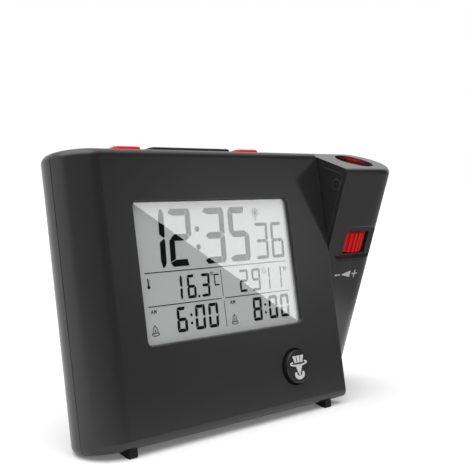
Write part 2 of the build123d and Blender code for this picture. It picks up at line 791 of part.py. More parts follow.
slider_stem_end = board_back + slide_switch_height + 0.5
lever_start = board_back + slide_switch_height - lever_room + slot_gap
with BuildPart() as projection_switch:
    with BuildSketch(behind(rear_flange_depth)):
        with Locations((slider_x, rear_key_height)):
            Rectangle(2 * (slider_travel + slider_flange_margin), slider_flange_height)
    extrude(amount=key_flange)
    with BuildSketch(behind(rear_flange_depth)):
        with Locations((slider_x, rear_key_height)):
            RectangleRounded(slider_cap_length, slider_cap_height, 1.0)
    extrude(amount=-(body_depth + rear_key_rise - rear_flange_depth))
    with BuildSketch(behind(rear_flange_depth - key_flange)):
        with Locations((slider_x, rear_key_height)):
            Rectangle(slider_stem_side, slider_stem_side)
    extrude(amount=rear_flange_depth - key_flange - slider_stem_end)
    # socket that takes the slide switch's lever
    with BuildSketch(behind(slider_stem_end)):
        with Locations((slider_x, rear_key_height)):
            Rectangle(lever_side + lever_gap, lever_side + lever_gap)
    extrude(amount=-lever_socket, mode=Mode.SUBTRACT)
finish(projection_switch, "projection_switch")

with BuildPart() as slide_switch:
    with BuildSketch(behind(board_back)):
        with Locations((slider_x, rear_key_height)):
            Rectangle(2 * (slider_travel + slide_switch_wall) + lever_side, slide_switch_width)
    extrude(amount=-slide_switch_height)
    with BuildSketch(behind(board_back + slide_switch_height)):
        with Locations((slider_x, rear_key_height)):
            Rectangle(2 * (slider_travel + slot_gap) + lever_side, lever_side + 2 * slot_gap)
    extrude(amount=lever_room, mode=Mode.SUBTRACT)
finish(slide_switch, "slide_switch")

with BuildPart() as slide_lever:
    with BuildSketch(behind(lever_start)):
        with Locations((slider_x, rear_key_height)):
            Rectangle(lever_side, lever_side)
    extrude(amount=-(slider_stem_end + lever_socket - slip_gap - lever_start))
finish(slide_lever, "slide_lever")

# ---------------------------------------------------------------- radio antenna, buzzer and jack
with BuildPart() as antenna_rod:
    with BuildSketch(side(rod_x)):
        with Locations((rod_depth, rod_y)):
            Circle(rod_radius)
    extrude(amount=rod_length / 2, both=True)
finish(antenna_rod, "antenna_rod")

with BuildPart() as antenna_coil:
    with BuildSketch(side(rod_x)):
        with Locations((rod_depth, rod_y)):
            Circle(rod_radius + coil_wall)
            Circle(rod_radius, mode=Mode.SUBTRACT)
    extrude(amount=coil_length / 2, both=True)
finish(antenna_coil, "antenna_coil")

with BuildPart() as buzzer:
    with BuildSketch(behind(board_back)):
        with Locations((buzzer_x, buzzer_y)):
            Circle(buzzer_radius)
    extrude(amount=-buzzer_height)
    with BuildSketch(behind(board_back + buzzer_height)):
        with Locations((buzzer_x, buzzer_y)):
            Circle(sound_hole_radius)
    extrude(amount=buzzer_height / 2, mode=Mode.SUBTRACT)
finish(buzzer, "buzzer")

with BuildPart() as dc_jack:
    with BuildSketch(behind(body_depth - wall - jack_gap)):
        with Locations((jack_x, jack_y)):
            Rectangle(jack_size, jack_size)
    extrude(amount=jack_length)
    with BuildSketch(behind(body_depth)):
        with Locations((jack_x, jack_y)):
            Circle(jack_nose_radius)
    extrude(amount=wall + 0.5)
    with BuildSketch(behind(body_depth)):
        with Locations((jack_x, jack_y)):
            Circle(jack_bore_radius)
    extrude(amount=jack_bore_length, mode=Mode.SUBTRACT)
    with BuildSketch(behind(body_depth - jack_pin_setback)):
        with Locations((jack_x, jack_y)):
            Circle(jack_pin_radius)
    extrude(amount=jack_bore_length)
finish(dc_jack, "dc_jack")

# ---------------------------------------------------------------- batteries
cell_y = front_y + bay_front + cell_gap + cell_radius
cell_heights = [bay_floor + cell_gap + cell_radius, bay_floor + cell_gap + cell_radius + cell_pitch]
cell_left = side_x + bay_left + spring_room
cell_names = ["lower_cell", "upper_cell"]
for cell_name, cell_height in zip(cell_names, cell_heights):
    with BuildPart() as cell:
        with BuildSketch(Plane.YZ.offset(cell_left)):
            with Locations((cell_y, cell_height)):
                Circle(cell_radius)
        extrude(amount=cell_length - nub_length)
        fillet(cell.edges(), 0.5)
        with BuildSketch(Plane.YZ.offset(cell_left + cell_length - nub_length)):
            with Locations((cell_y, cell_height)):
                Circle(nub_radius)
        extrude(amount=nub_length)
    finish(cell, cell_name)

with BuildPart() as contact_plates:
    for cell_height in cell_heights:
        with BuildSketch(Plane.YZ.offset(side_x + bay_right)):
            with Locations((cell_y, cell_height)):
                RectangleRounded(plate_side, plate_side, 1.0)
        extrude(amount=-plate_thickness)
        with BuildSketch(Plane.YZ.offset(side_x + bay_right - plate_thickness)):
            with Locations((cell_y, cell_height)):
                Circle(dimple_radius)
        extrude(amount=-plate_thickness)
finish(contact_plates, "contact_plates")

turn_pitch = (spring_room - spring_preload) / spring_turns
with BuildPart() as contact_springs:
    for cell_height in cell_heights:
        spring_start = (side_x + bay_left, cell_y, cell_height)
        spring_plane = Plane(origin=spring_start, x_dir=(0, 1, 0), z_dir=(1, 0, 0))
        with BuildSketch(spring_plane):
            RectangleRounded(plate_side, plate_side, 1.0)
        extrude(amount=plate_thickness)
        # stacked turns of a cone spring, each one narrower
        for turn in range(spring_turns):
            with BuildSketch(spring_plane.offset(plate_thickness + turn * turn_pitch)):
                Circle(spring_radius - spring_taper * turn)
                Circle(spring_radius - spring_wire - spring_taper * turn, mode=Mode.SUBTRACT)
            extrude(amount=turn_pitch)
finish(contact_springs, "contact_springs")

door_width = bay_length - 2 * door_gap
door_height = bay_height - 2 * door_gap
with BuildPart() as battery_door:
    with BuildSketch(Plane.XZ.offset(-(front_y + box_back - door_thickness))):
        with Locations((bay_x, bay_floor + door_gap + door_height / 2)):
            Rectangle(door_width, door_height)
    extrude(amount=-door_thickness)
    fillet(battery_door.faces().sort_by(Axis.Z)[0].edges().filter_by(Axis.X), door_thickness / 2 - 0.02)
    with BuildSketch(Plane.YZ.offset(bay_x)):
        with Locations((door_axis_y, door_axis_z)):
            Circle(door_pin_radius)
    extrude(amount=door_width / 2 + door_gap + door_pin_length, both=True)
    # grip ribs
    with BuildSketch(Plane.XZ.offset(-(front_y + box_back))):
        with Locations((bay_x, bay_floor + door_height - grip_drop)):
            with GridLocations(1, grip_pitch, 1, 3):
                SlotOverall(grip_length, grip_width)
    extrude(amount=-grip_rise)
finish(battery_door, "battery_door")

# ---------------------------------------------------------------- feet and housing screws
floor_tip_front = (front_foot_front * sin(lean) - foot_height) / cos(lean)
floor_tip_back = ((front_foot_front + front_foot_tip) * sin(lean) - foot_height) / cos(lean)
for foot_name, foot_x in [("front_foot_left", front_foot_left_x), ("front_foot_right", front_foot_right_x)]:
    with BuildPart() as front_foot:
        with BuildSketch(side(foot_x - front_foot_width / 2)):
            with BuildLine():
                Polyline(
                    (front_foot_front, rim_round),
                    (front_foot_front, floor_tip_front + foot_toe),
                    (front_foot_front + foot_toe, floor_tip_front + foot_toe * tan(lean)),
                    (front_foot_front + front_foot_tip, floor_tip_back),
                    (front_foot_front + front_foot_length, 0),
                    (front_foot_front + front_foot_length, rim_round),
                    close=True,
                )
            make_face()
        extrude(amount=front_foot_width)
        add(body_form.part, mode=Mode.SUBTRACT)
    finish(front_foot, foot_name)

for foot_name, foot_place in zip(["rear_foot_left", "rear_foot_right"], rear_foot_places):
    with BuildPart() as rear_foot:
        with BuildSketch(Plane.XY):
            with Locations(foot_place):
                Circle(rear_foot_radius)
        extrude(amount=ground_clearance + rear_foot_sink)
        fillet(rear_foot.faces().sort_by(Axis.Z)[0].edges(), rear_foot_round)
    finish(rear_foot, foot_name)

screw_seat = body_depth - screw_head_height - wall
with BuildPart() as housing_screws:
    with BuildSketch(behind(screw_seat)):
        with Locations(*housing_posts):
            Circle(screw_head_radius)
    extrude(amount=-screw_head_height)
    with BuildSketch(behind(screw_seat + screw_head_height)):
        with Locations(*housing_posts):
            RegularPolygon(screw_head_radius * 0.4, 6)
    extrude(amount=screw_head_height / 2, mode=Mode.SUBTRACT)
    with BuildSketch(behind(screw_seat)):
        with Locations(*housing_posts):
            Circle(screw_radius - thread_slack)
    extrude(amount=screw_seat - 2.0 * wall)
finish(housing_screws, "housing_screws")

# ---------------------------------------------------------------- pivot
pivot_on_side = (end_radius, pivot_height)
with BuildPart() as pivot_bush:
    with BuildSketch(side(-wall)):
        with Locations(pivot_on_side):
            Circle(bush_radius - press_gap)
    extrude(amount=wall)
    with BuildSketch(side(-wall)):
        with Locations(pivot_on_side):
            Circle(bush_flange_radius)
    extrude(amount=-washer_thickness)
    with BuildSketch(side(arm_gap)):
        with Locations(pivot_on_side):
            Circle(shaft_radius + running_gap)
    extrude(amount=-4 * wall, mode=Mode.SUBTRACT)
finish(pivot_bush, "pivot_bush")

spring_left = -wall - washer_thickness - washer_gap
washer_left = spring_left - washer_thickness - washer_gap
clip_left = washer_left - washer_thickness
with BuildPart() as spring_washer:
    with BuildSketch(side(spring_left)):
        with Locations(pivot_on_side):
            Circle(bush_flange_radius - 1.0)
            Circle(shaft_radius + 2 * running_gap, mode=Mode.SUBTRACT)
    extrude(amount=-washer_thickness)
finish(spring_washer, "spring_washer")

with BuildPart() as flat_washer:
    with BuildSketch(arm_side(washer_left)):
        Circle(bush_flange_radius - 1.0)
        Circle(shaft_radius + press_gap, mode=Mode.SUBTRACT)
    extrude(amount=-washer_thickness)
finish(flat_washer, "flat_washer")

with BuildPart() as pivot_shaft:
    with BuildSketch(arm_side(clip_left - clip_groove - shaft_end)):
        Circle(shaft_radius)
    extrude(amount=arm_gap + cover_thickness - clip_left + clip_groove + shaft_end)
    with BuildSketch(arm_side(arm_gap + cover_thickness)):
        Circle(shaft_flange_radius)
    extrude(amount=shaft_flange)
    with BuildSketch(arm_side(clip_left)):
        Circle(shaft_radius)
        Circle(shaft_radius - clip_groove, mode=Mode.SUBTRACT)
    extrude(amount=-clip_groove, mode=Mode.SUBTRACT)
    with BuildSketch(arm_side(clip_left - 3)):
        Circle(shaft_bore)
    extrude(amount=arm_width, mode=Mode.SUBTRACT)
finish(pivot_shaft, "pivot_shaft")

with BuildPart() as retaining_clip:
    with BuildSketch(arm_side(clip_left)):
        Circle(clip_radius)
        Circle(shaft_radius - clip_groove + press_gap, mode=Mode.SUBTRACT)
        # open side of the C, wide enough to slip over the groove
        with Locations((0, -clip_radius)):
            Rectangle(2 * (shaft_radius - clip_groove - clip_opening), 2 * clip_radius, mode=Mode.SUBTRACT)
    extrude(amount=-clip_groove)
finish(retaining_clip, "retaining_clip")

# ---------------------------------------------------------------- arm casing
arm_outline = arm_section(0, 0)
arm_inner_outline = arm_section(wall, -1.0)
band_outline = arm_section(recess_depth + band_wall, -1.0)
lens_place = (lens_x, lens_back)
tube_radius = barrel_radius + guide_gap + tube_wall
recess_top = recess_bottom + recess_height
cover_posts = [(-end_radius + wall + 2.0, 27.5), (end_radius - wall - 2.0, 27.5), (0.0, arm_bottom + 10.0)]
cover_post_radius = 2.2
cover_post_length = 6.5
cover_depth = body_depth - 2 * wall - slip_gap
cover_top = arm_top_rise - arm_top_wall - slip_gap / 2
cover_bottom = arm_bottom + wall + slip_gap / 2
cover_height = cover_top - cover_bottom
cover_middle = (cover_top + cover_bottom) / 2


def finger_recess(margin):
    """Return the outline of the finger recesses, grown by a margin, on the arm's front plane."""
    height = recess_height + 2 * margin
    with BuildSketch() as outline:
        with Locations((recess_left - margin + arm_width, recess_bottom + recess_height / 2)):
            Rectangle(2 * arm_width, height)
        fillet(outline.vertices().group_by(Axis.X)[0].sort_by(Axis.Y)[-1], recess_corner + margin)
        fillet(outline.vertices().group_by(Axis.X)[0].sort_by(Axis.Y)[0], recess_low_corner + margin)
    return outline.sketch


with BuildPart() as recess_tool:
    # front and back alike, running out over the rounded side
    for face_side in (1, -1):
        with BuildSketch(arm.offset(face_side * end_radius)):
            add(finger_recess(0))
        extrude(amount=-face_side * recess_depth, taper=recess_taper)
        with BuildSketch(arm.offset(face_side * end_radius)):
            add(finger_recess(recess_bevel))
        extrude(amount=-face_side * recess_bevel, taper=45)

with BuildPart() as arm_housing:
    with BuildSketch(arm_plan(-arm_swing_radius - 1)):
        add(arm_outline)
    extrude(amount=arm_swing_radius + 1 + arm_top_rise)
    with BuildSketch(arm_side(0)):
        Circle(arm_swing_radius)
    extrude(amount=2 * arm_width, mode=Mode.INTERSECT)
    arm_top_face = arm_housing.faces().sort_by(Axis(arm.origin, arm.y_dir))[-1]
    arm_top_edges = [e for e in arm_top_face.edges() if arm.to_local_coords(e.center()).X > arm_gap + 0.1]
    fillet(arm_top_edges, arm_rim_round)
    # hollow above and below the ring's chamber, and the thicker band round it
    with BuildSketch(arm_plan(recess_top + shelf_thickness)):
        add(arm_inner_outline)
    extrude(amount=arm_top_rise - arm_top_wall - recess_top - shelf_thickness, mode=Mode.SUBTRACT)
    with BuildSketch(arm_plan(arm_bottom + wall)):
        add(arm_inner_outline)
    extrude(amount=recess_bottom - shelf_thickness - arm_bottom - wall, mode=Mode.SUBTRACT)
    with BuildSketch(arm_plan(ring_bottom - ring_end_gap)):
        add(band_outline)
    extrude(amount=ring_length + 2 * ring_end_gap, mode=Mode.SUBTRACT)
    add(recess_tool.part, mode=Mode.SUBTRACT)
    # window of the ring, the slot at the back that it goes in by, and the room it turns in
    with BuildSketch(arm_plan(ring_bottom - ring_end_gap)):
        with Locations(((window_left + window_right) / 2, -body_depth / 2)):
            Rectangle(window_right - window_left, body_depth)
        with Locations((lens_x, lens_back + body_depth / 2)):
            Rectangle(2 * (ring_radius + ring_end_gap), body_depth)
        with Locations(lens_place):
            Circle(ring_radius + ring_end_gap)
    extrude(amount=ring_length + 2 * ring_end_gap, mode=Mode.SUBTRACT)
    # open the shelves towards the left, so that the projector tube slides in
    with BuildSketch(arm_plan(recess_bottom - shelf_thickness - 1)):
        with Locations(lens_place):
            Circle(tube_radius + shelf_gap)
        with Locations((lens_x - arm_width / 2, lens_back)):
            Rectangle(arm_width, 2 * (tube_radius + shelf_gap))
    extrude(amount=recess_height + 2 * shelf_thickness + 2, mode=Mode.SUBTRACT)
    # lens opening
    with BuildSketch(arm_plan(arm_top_rise + 1)):
        with Locations(lens_place):
            Circle(lens_opening_radius)
    extrude(amount=-arm_top_wall - 2, mode=Mode.SUBTRACT)
    # posts for the cover's screws, then the cover's seat
    with BuildSketch(arm_side(arm_gap + cover_thickness)):
        with Locations(cover_posts[0], cover_posts[1]):
            Circle(cover_post_radius)
    extrude(amount=cover_post_length)
    with BuildSketch(arm_side(arm_gap + cover_thickness)):
        with Locations(cover_posts[2]):
            Circle(cover_post_radius)
    extrude(amount=arm_width - cover_thickness - wall + 0.1)
    with BuildSketch(arm_side(arm_gap)):
        with Locations((0, cover_middle)):
            Rectangle(cover_depth + slip_gap, cover_height + slip_gap)
    extrude(amount=cover_thickness, mode=Mode.SUBTRACT)
    with BuildSketch(arm_side(arm_gap + cover_thickness)):
        with Locations(*cover_posts):
            Circle(screw_radius - small_thread_grip)
    extrude(amount=cover_post_length - cover_thickness + 0.5, mode=Mode.SUBTRACT)
finish(arm_housing, "arm_housing")

with BuildPart() as arm_side_cover:
    with BuildSketch(arm_side(arm_gap)):
        with Locations((0, cover_middle)):
            Rectangle(cover_depth, cover_height)
        Circle(shaft_radius + press_gap, mode=Mode.SUBTRACT)
        with Locations(*cover_posts):
            Circle(screw_radius, mode=Mode.SUBTRACT)
    extrude(amount=cover_thickness)
    with BuildSketch(arm_side(arm_gap)):
        with Locations(*cover_posts):
            Circle(screw_head_radius - small_head_step + 0.1)
    extrude(amount=cover_thickness / 2 + 0.1, mode=Mode.SUBTRACT)
finish(arm_side_cover, "arm_side_cover")

with BuildPart() as arm_screws:
    with BuildSketch(arm_side(arm_gap + cover_thickness / 2 + 0.1)):
        with Locations(*cover_posts):
            Circle(screw_head_radius - small_head_step)
    extrude(amount=-cover_thickness / 2)
    with BuildSketch(arm_side(arm_gap + cover_thickness / 2)):
        with Locations(*cover_posts):
            Circle(screw_radius - board_screw_slack)
    extrude(amount=cover_post_length - cover_thickness + 0.5)
finish(arm_screws, "arm_screws")

# ---------------------------------------------------------------- projector
optical_axis = Axis(arm.from_local_coords((lens_x, 0, -lens_back)), arm.y_dir)
guide_pin_height = ring_bottom + ring_length / 2
house_inner = lamp_house_size - 2 * lamp_house_wall
condenser_seat = lamp_house_top - condenser_drop

with BuildPart() as projector_tube:
    with BuildSketch(arm_plan(lamp_house_top)):
        with Locations(lens_place):
            Circle(tube_radius)
    extrude(amount=tube_top - lamp_house_top)
    with BuildSketch(arm_plan(lamp_house_top)):
        with Locations(lens_place):
            Circle(barrel_radius + guide_gap)
    extrude(amount=tube_top - lamp_house_top, mode=Mode.SUBTRACT)
    with BuildSketch(arm_plan(lamp_house_bottom)):
        with Locations(lens_place):
            RectangleRounded(lamp_house_size, lamp_house_size, 1.0)
    extrude(amount=lamp_house_top - lamp_house_bottom)
    with BuildSketch(arm_plan(lamp_house_bottom)):
        with Locations(lens_place):
            Rectangle(house_inner, house_inner)
    extrude(amount=lamp_house_top - lamp_house_bottom - mask_thickness, mode=Mode.SUBTRACT)
    with BuildSketch(arm_plan(lamp_house_top)):
        with Locations(lens_place):
            Circle(barrel_bore - barrel_ledge)
    extrude(amount=-2 * mask_thickness, mode=Mode.SUBTRACT)
    # ledge under the condenser lens
    with BuildSketch(arm_plan(condenser_seat)):
        with Locations(lens_place):
            Rectangle(house_inner + 0.2, house_inner + 0.2)
            Circle(barrel_bore - ledge_step, mode=Mode.SUBTRACT)
    extrude(amount=-ledge_height)
    # straight slots that keep the barrel from turning
    with BuildSketch(arm.offset(-lens_back)):
        with Locations((lens_x, guide_pin_height)):
            Rectangle(2 * (guide_pin_radius + guide_gap), 2 * (guide_pin_radius + focus_travel + guide_slack))
    extrude(amount=2 * tube_radius, both=True, mode=Mode.SUBTRACT)
finish(projector_tube, "projector_tube")

with BuildPart() as focus_ring:
    with BuildSketch(arm_plan(ring_bottom)):
        with Locations(lens_place):
            Circle(ring_radius)
            Circle(tube_radius + guide_gap, mode=Mode.SUBTRACT)
    extrude(amount=ring_length)
    ring_ends = focus_ring.faces().sort_by(Axis(arm.origin, arm.y_dir))
    ring_edges = [end.edges().sort_by(SortBy.RADIUS)[-1] for end in (ring_ends[0], ring_ends[-1])]
    chamfer(ring_edges, ring_chamfer)
    with BuildSketch(arm_plan(ring_bottom)):
        with Locations(lens_place):
            with PolarLocations(ring_radius, ring_rib_count):
                Rectangle(2 * ring_rib_depth, ring_groove)
    extrude(amount=ring_length, mode=Mode.SUBTRACT)
    # inside groove in which the barrel's guide pins run
    with BuildSketch(arm_plan(guide_pin_height - guide_pin_radius - focus_travel - guide_slack)):
        with Locations(lens_place):
            Circle(tube_radius + guide_groove)
    extrude(amount=2 * (guide_pin_radius + focus_travel + guide_slack), mode=Mode.SUBTRACT)
finish(focus_ring, "focus_ring")

with BuildPart() as lens_barrel:
    with BuildSketch(arm_plan(barrel_bottom)):
        with Locations(lens_place):
            Circle(barrel_radius)
            Circle(barrel_bore, mode=Mode.SUBTRACT)
    extrude(amount=barrel_top - barrel_bottom)
    with BuildSketch(arm_plan(lens_seat)):
        with Locations(lens_place):
            Circle(barrel_bore + guide_gap)
            Circle(barrel_bore - barrel_ledge, mode=Mode.SUBTRACT)
    extrude(amount=-ledge_height)
    for pin_start in (-lens_back - barrel_bore - 0.3, -lens_back + tube_radius + 0.8):
        with BuildSketch(arm.offset(pin_start)):
            with Locations((lens_x, guide_pin_height)):
                Circle(guide_pin_radius)
        extrude(amount=-(tube_radius + 0.8 - barrel_bore - 0.3))
finish(lens_barrel, "lens_barrel")


def lens_profile(radius, seat, thickness, crown):
    """Return half of a lens's section on the arm's side plane: flat below, domed above."""
    with BuildSketch() as section:
        with BuildLine():
            Polyline(
                (lens_back, seat + thickness + crown),
                (lens_back, seat),
                (lens_back + radius, seat),
                (lens_back + radius, seat + thickness),
            )
            RadiusArc(
                (lens_back + radius, seat + thickness),
                (lens_back, seat + thickness + crown),
                -(radius**2 + crown**2) / (2 * crown),
            )
        make_face()
    return section.sketch


projection_profile = lens_profile(barrel_bore - 0.05, lens_seat, lens_thickness, lens_crown)
with BuildPart() as projection_lens:
    with BuildSketch(arm_side(lens_x)):
        add(projection_profile)
    revolve(axis=optical_axis)
finish(projection_lens, "projection_lens")

with BuildPart() as lens_collar:
    with BuildSketch(arm_plan(lens_seat + lens_thickness + collar_lift)):
        with Locations(lens_place):
            Circle(barrel_bore - press_gap)
            Circle(barrel_bore - barrel_ledge, mode=Mode.SUBTRACT)
    extrude(amount=collar_height)
finish(lens_collar, "lens_collar")

condenser_radius = house_inner / 2 - slide_gap
condenser_profile = lens_profile(condenser_radius, condenser_seat, condenser_thickness, condenser_crown)
with BuildPart() as condenser_lens:
    with BuildSketch(arm_side(lens_x)):
        add(condenser_profile)
    revolve(axis=optical_axis)
finish(condenser_lens, "condenser_lens")

with BuildPart() as projector_lcd:
    with BuildSketch(arm_plan(lamp_house_top - mask_thickness - slide_gap)):
        with Locations(lens_place):
            Rectangle(house_inner - 2 * slide_gap, house_inner - 2 * slide_gap)
    extrude(amount=-slide_thickness)
finish(projector_lcd, "projector_lcd")

with BuildPart() as led_board:
    with BuildSketch(arm_plan(lamp_house_bottom)):
        with Locations(lens_place):
            Rectangle(lamp_house_size, lamp_house_size)
    extrude(amount=-board_thickness)
finish(led_board, "led_board")

with BuildPart() as projector_led:
    with BuildSketch(arm_plan(lamp_house_bottom)):
        with Locations(lens_place):
            Circle(led_radius + led_rim)
    extrude(amount=led_rim_height)
    with BuildSketch(arm_plan(lamp_house_bottom + led_rim_height)):
        with Locations(lens_place):
            Circle(led_radius)
    extrude(amount=led_height)
    fillet(projector_led.faces().sort_by(Axis(arm.origin, arm.y_dir))[-1].edges(), led_radius - 0.1)
finish(projector_led, "projector_led")

# ---------------------------------------------------------------- lead through the hollow shaft
socket_right = clip_left - clip_groove - shaft_end - 1.3
socket_left = board_right - socket_overlap
with BuildPart() as lead_socket:
    with BuildSketch(behind(board_back)):
        with Locations(((socket_left + socket_right) / 2, pivot_height)):
            Rectangle(socket_right - socket_left, socket_height)
    extrude(amount=-(end_radius - board_back + socket_height / 2))
finish(lead_socket, "lead_socket")

lead_drop = arm_gap + cover_thickness + shaft_flange + lead_radius + lead_gap
with BuildPart() as arm_lead:
    with BuildLine(arm) as lead_path:
        FilletPolyline(
            (socket_right + 0.2, 0),
            (lead_drop, 0),
            (lead_drop, lamp_house_bottom - board_thickness / 2),
            (lens_x - lamp_house_size / 2 - 0.1, lamp_house_bottom - board_thickness / 2),
            radius=lead_bend,
        )
    with BuildSketch(Plane(origin=lead_path.line @ 0, z_dir=lead_path.line % 0)):
        Circle(lead_radius)
    sweep(path=lead_path.line)
finish(arm_lead, "arm_lead")
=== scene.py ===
"""Looks of the projection alarm clock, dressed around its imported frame.

Lengths are metres, and the fields of signs, figures and plugs are millimetres. Places on the body are
measured on its leaning front panel: x from the body's right side, y up from its bottom edge, z out of its
front face. Places on the arm are measured from its pivot: x from the body's right side, y along the arm, z
out of its front. Places on the display are measured from its middle.
"""

from __future__ import annotations

import json
import logging
import math
from dataclasses import dataclass, field
from enum import Enum
from typing import Callable, Iterable

import bmesh
import bpy
from mathutils import Matrix, Vector


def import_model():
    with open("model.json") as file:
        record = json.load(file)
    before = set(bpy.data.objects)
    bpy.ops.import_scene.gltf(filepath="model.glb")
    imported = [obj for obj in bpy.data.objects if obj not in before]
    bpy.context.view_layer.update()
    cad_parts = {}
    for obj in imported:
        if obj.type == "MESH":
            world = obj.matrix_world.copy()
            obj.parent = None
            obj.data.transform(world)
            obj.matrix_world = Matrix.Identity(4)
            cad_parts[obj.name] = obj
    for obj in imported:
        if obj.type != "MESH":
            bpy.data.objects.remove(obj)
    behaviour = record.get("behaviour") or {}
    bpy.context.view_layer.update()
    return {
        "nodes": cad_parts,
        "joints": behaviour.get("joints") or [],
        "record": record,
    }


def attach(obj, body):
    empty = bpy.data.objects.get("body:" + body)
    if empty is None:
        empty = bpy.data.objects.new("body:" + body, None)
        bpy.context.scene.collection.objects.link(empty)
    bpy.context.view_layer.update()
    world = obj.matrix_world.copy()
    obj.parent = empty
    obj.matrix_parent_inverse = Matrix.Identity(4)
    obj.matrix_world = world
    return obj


LOG = logging.getLogger("alarm_clock")
MM = 0.001
RIGHT = Vector((1, 0, 0))
UP = Vector((0, 0, 1))
BLACK = (0.0, 0.0, 0.0)
WHITE = (1.0, 1.0, 1.0)
CLOUDY = (0.3, 0.7)
CLOSED = (0.0, 0.0)
STROKE_SIDES, SPOT_SIDES, RING_SIDES = 12, 24, 48
SPOT_TOP = 0.96

Colour = tuple[float, float, float]
Point = tuple[float, float]


class Body(Enum):
    """Bodies of the frame that carry pieces."""

    BASE = "base"
    ARM = "arm"
    FRONT_BUTTON = "front_button"
    SNOOZE = "snooze"
    ALARM_ONE = "alarm_one"
    ALARM_TWO = "alarm_two"


class Slot(Enum):
    """Material slots of the record."""

    BODY = "body_plastic"
    KEY = "key_plastic"
    RED = "red_plastic"
    WINDOW = "clear_window"
    DISPLAY = "display_glass"
    WHITE = "white_plastic"
    STRIP = "strip_rubber"
    FOOT = "foot_rubber"
    LEAD = "lead_rubber"
    BOARD = "board_laminate"
    BLACK = "black_plastic"
    SCREW = "screw_steel"
    CONTACT = "contact_metal"
    FERRITE = "ferrite"
    COIL = "coil_wire"
    CELL = "cell_sleeve"
    LENS = "lens_glass"
    LED = "led_resin"


class Pick(Enum):
    """Kinds of element that an edit step can select."""

    CORNERS = "VERT"
    EDGES = "EDGE"
    FACES = "FACE"


# ---------------------------------------------------------------------------------------------- node benches
class NodeBench:
    """A node tree with short calls for its nodes."""

    def __init__(self, tree: bpy.types.NodeTree) -> None:
        """Take an empty node tree."""
        self.tree = tree

    def node(self, kind: str, **settings: object) -> bpy.types.Node:
        """Add a node.

        Args:
            kind: The node's type, without the leading "ShaderNode".
            settings: Values for the node's own properties.

        Returns:
            The new node.
        """
        node = self.tree.nodes.new("ShaderNode" + kind)
        for name, value in settings.items():
            setattr(node, name, value)
        return node

    def feed(self, socket: bpy.types.NodeSocket, value: object) -> None:
        """Link a socket to another one, or set its plain value.

        Args:
            socket: The input that is fed.
            value: An output socket, or a number, colour or vector.
        """
        if isinstance(value, bpy.types.NodeSocket):
            self.tree.links.new(value, socket)
        elif socket.type == "RGBA":
            socket.default_value = (*value, 1.0)
        else:
            socket.default_value = value

    def math(self, operation: str, first: object, second: object = 0.0) -> bpy.types.NodeSocket:
        """Return the result of a sum on two values.

        Args:
            operation: The sum, such as ADD or MULTIPLY.
            first: First value, as a number or a socket.
            second: Second value, where the sum takes one.

        Returns:
            The result.
        """
        node = self.node("Math", operation=operation)
        self.feed(node.inputs[0], first)
        self.feed(node.inputs[1], second)
        return node.outputs[0]

    def mix(self, factor: object, first: object, second: object) -> bpy.types.NodeSocket:
        """Return a colour between two colours.

        Args:
            factor: Share of the second colour.
            first: First colour, as numbers or a socket.
            second: Second colour.

        Returns:
            The blended colour.
        """
        node = self.node("Mix", data_type="RGBA")
        self.feed(node.inputs[0], factor)
        self.feed(node.inputs[6], first)
        self.feed(node.inputs[7], second)
        return node.outputs[2]

    def spread(
        self, value: object, low: float, high: float, start: float = 0.0, end: float = 1.0
    ) -> bpy.types.NodeSocket:
        """Return a value moved from one range to another, held at its ends.

        Args:
            value: The value, as a socket.
            low: Where the old range starts.
            high: Where it ends.
            start: Where the new range starts.
            end: Where it ends.

        Returns:
            The moved value.
        """
        node = self.node("MapRange")
        for socket, number in zip(node.inputs[:5], (value, low, high, start, end)):
            self.feed(socket, number)
        return node.outputs[0]

    def place(self) -> bpy.types.NodeSocket:
        """Return the object's own coordinates."""
        return self.node("TexCoord").outputs["Object"]

    def axis(self, name: str) -> bpy.types.NodeSocket:
        """Return one of the object's own coordinates.

        Args:
            name: Its name, X, Y or Z.

        Returns:
            The coordinate.
        """
        split = self.node("SeparateXYZ")
        self.feed(split.inputs[0], self.place())
        return split.outputs[name]

    def noise(self, size: object, detail: float = 2.0, stretch: Point | None = None) -> bpy.types.NodeSocket:
        """Return a cloudy value.

        Args:
            size: Size of the clouds in metres, as a number or a socket.
            detail: Number of finer layers.
            stretch: How far the clouds are drawn out along x and along z, where they are.

        Returns:
            The noise's value from 0 to 1.
        """
        node = self.node("TexNoise")
        vector = self.place()
        if stretch:
            mapping = self.node("Mapping")
            self.feed(mapping.inputs["Vector"], vector)
            mapping.inputs["Scale"].default_value = (1 / stretch[0], 1.0, 1 / stretch[1])
            vector = mapping.outputs[0]
        self.feed(node.inputs["Vector"], vector)
        self.feed(node.inputs["Scale"], self.math("DIVIDE", 1.0, size))
        self.feed(node.inputs["Detail"], detail)
        return node.outputs[0]

    def bump(self, height: object, distance: float, strength: float = 1.0) -> bpy.types.NodeSocket:
        """Return a normal tilted by a height.

        Args:
            height: The height from 0 to 1.
            distance: What a height of 1 stands for, in metres.
            strength: Share of the tilt that is kept.

        Returns:
            The normal.
        """
        node = self.node("Bump")
        self.feed(node.inputs["Height"], height)
        self.feed(node.inputs["Distance"], distance)
        self.feed(node.inputs["Strength"], strength)
        return node.outputs[0]

    def effect(self, tree: bpy.types.NodeTree, **values: object) -> bpy.types.Node:
        """Place a shared effect and set its inputs.

        Args:
            tree: The effect's node group.
            values: Its inputs by name, in lower case.

        Returns:
            The group node.
        """
        node = self.node("Group", node_tree=tree)
        for name, value in values.items():
            self.feed(node.inputs[name.capitalize()], value)
        return node


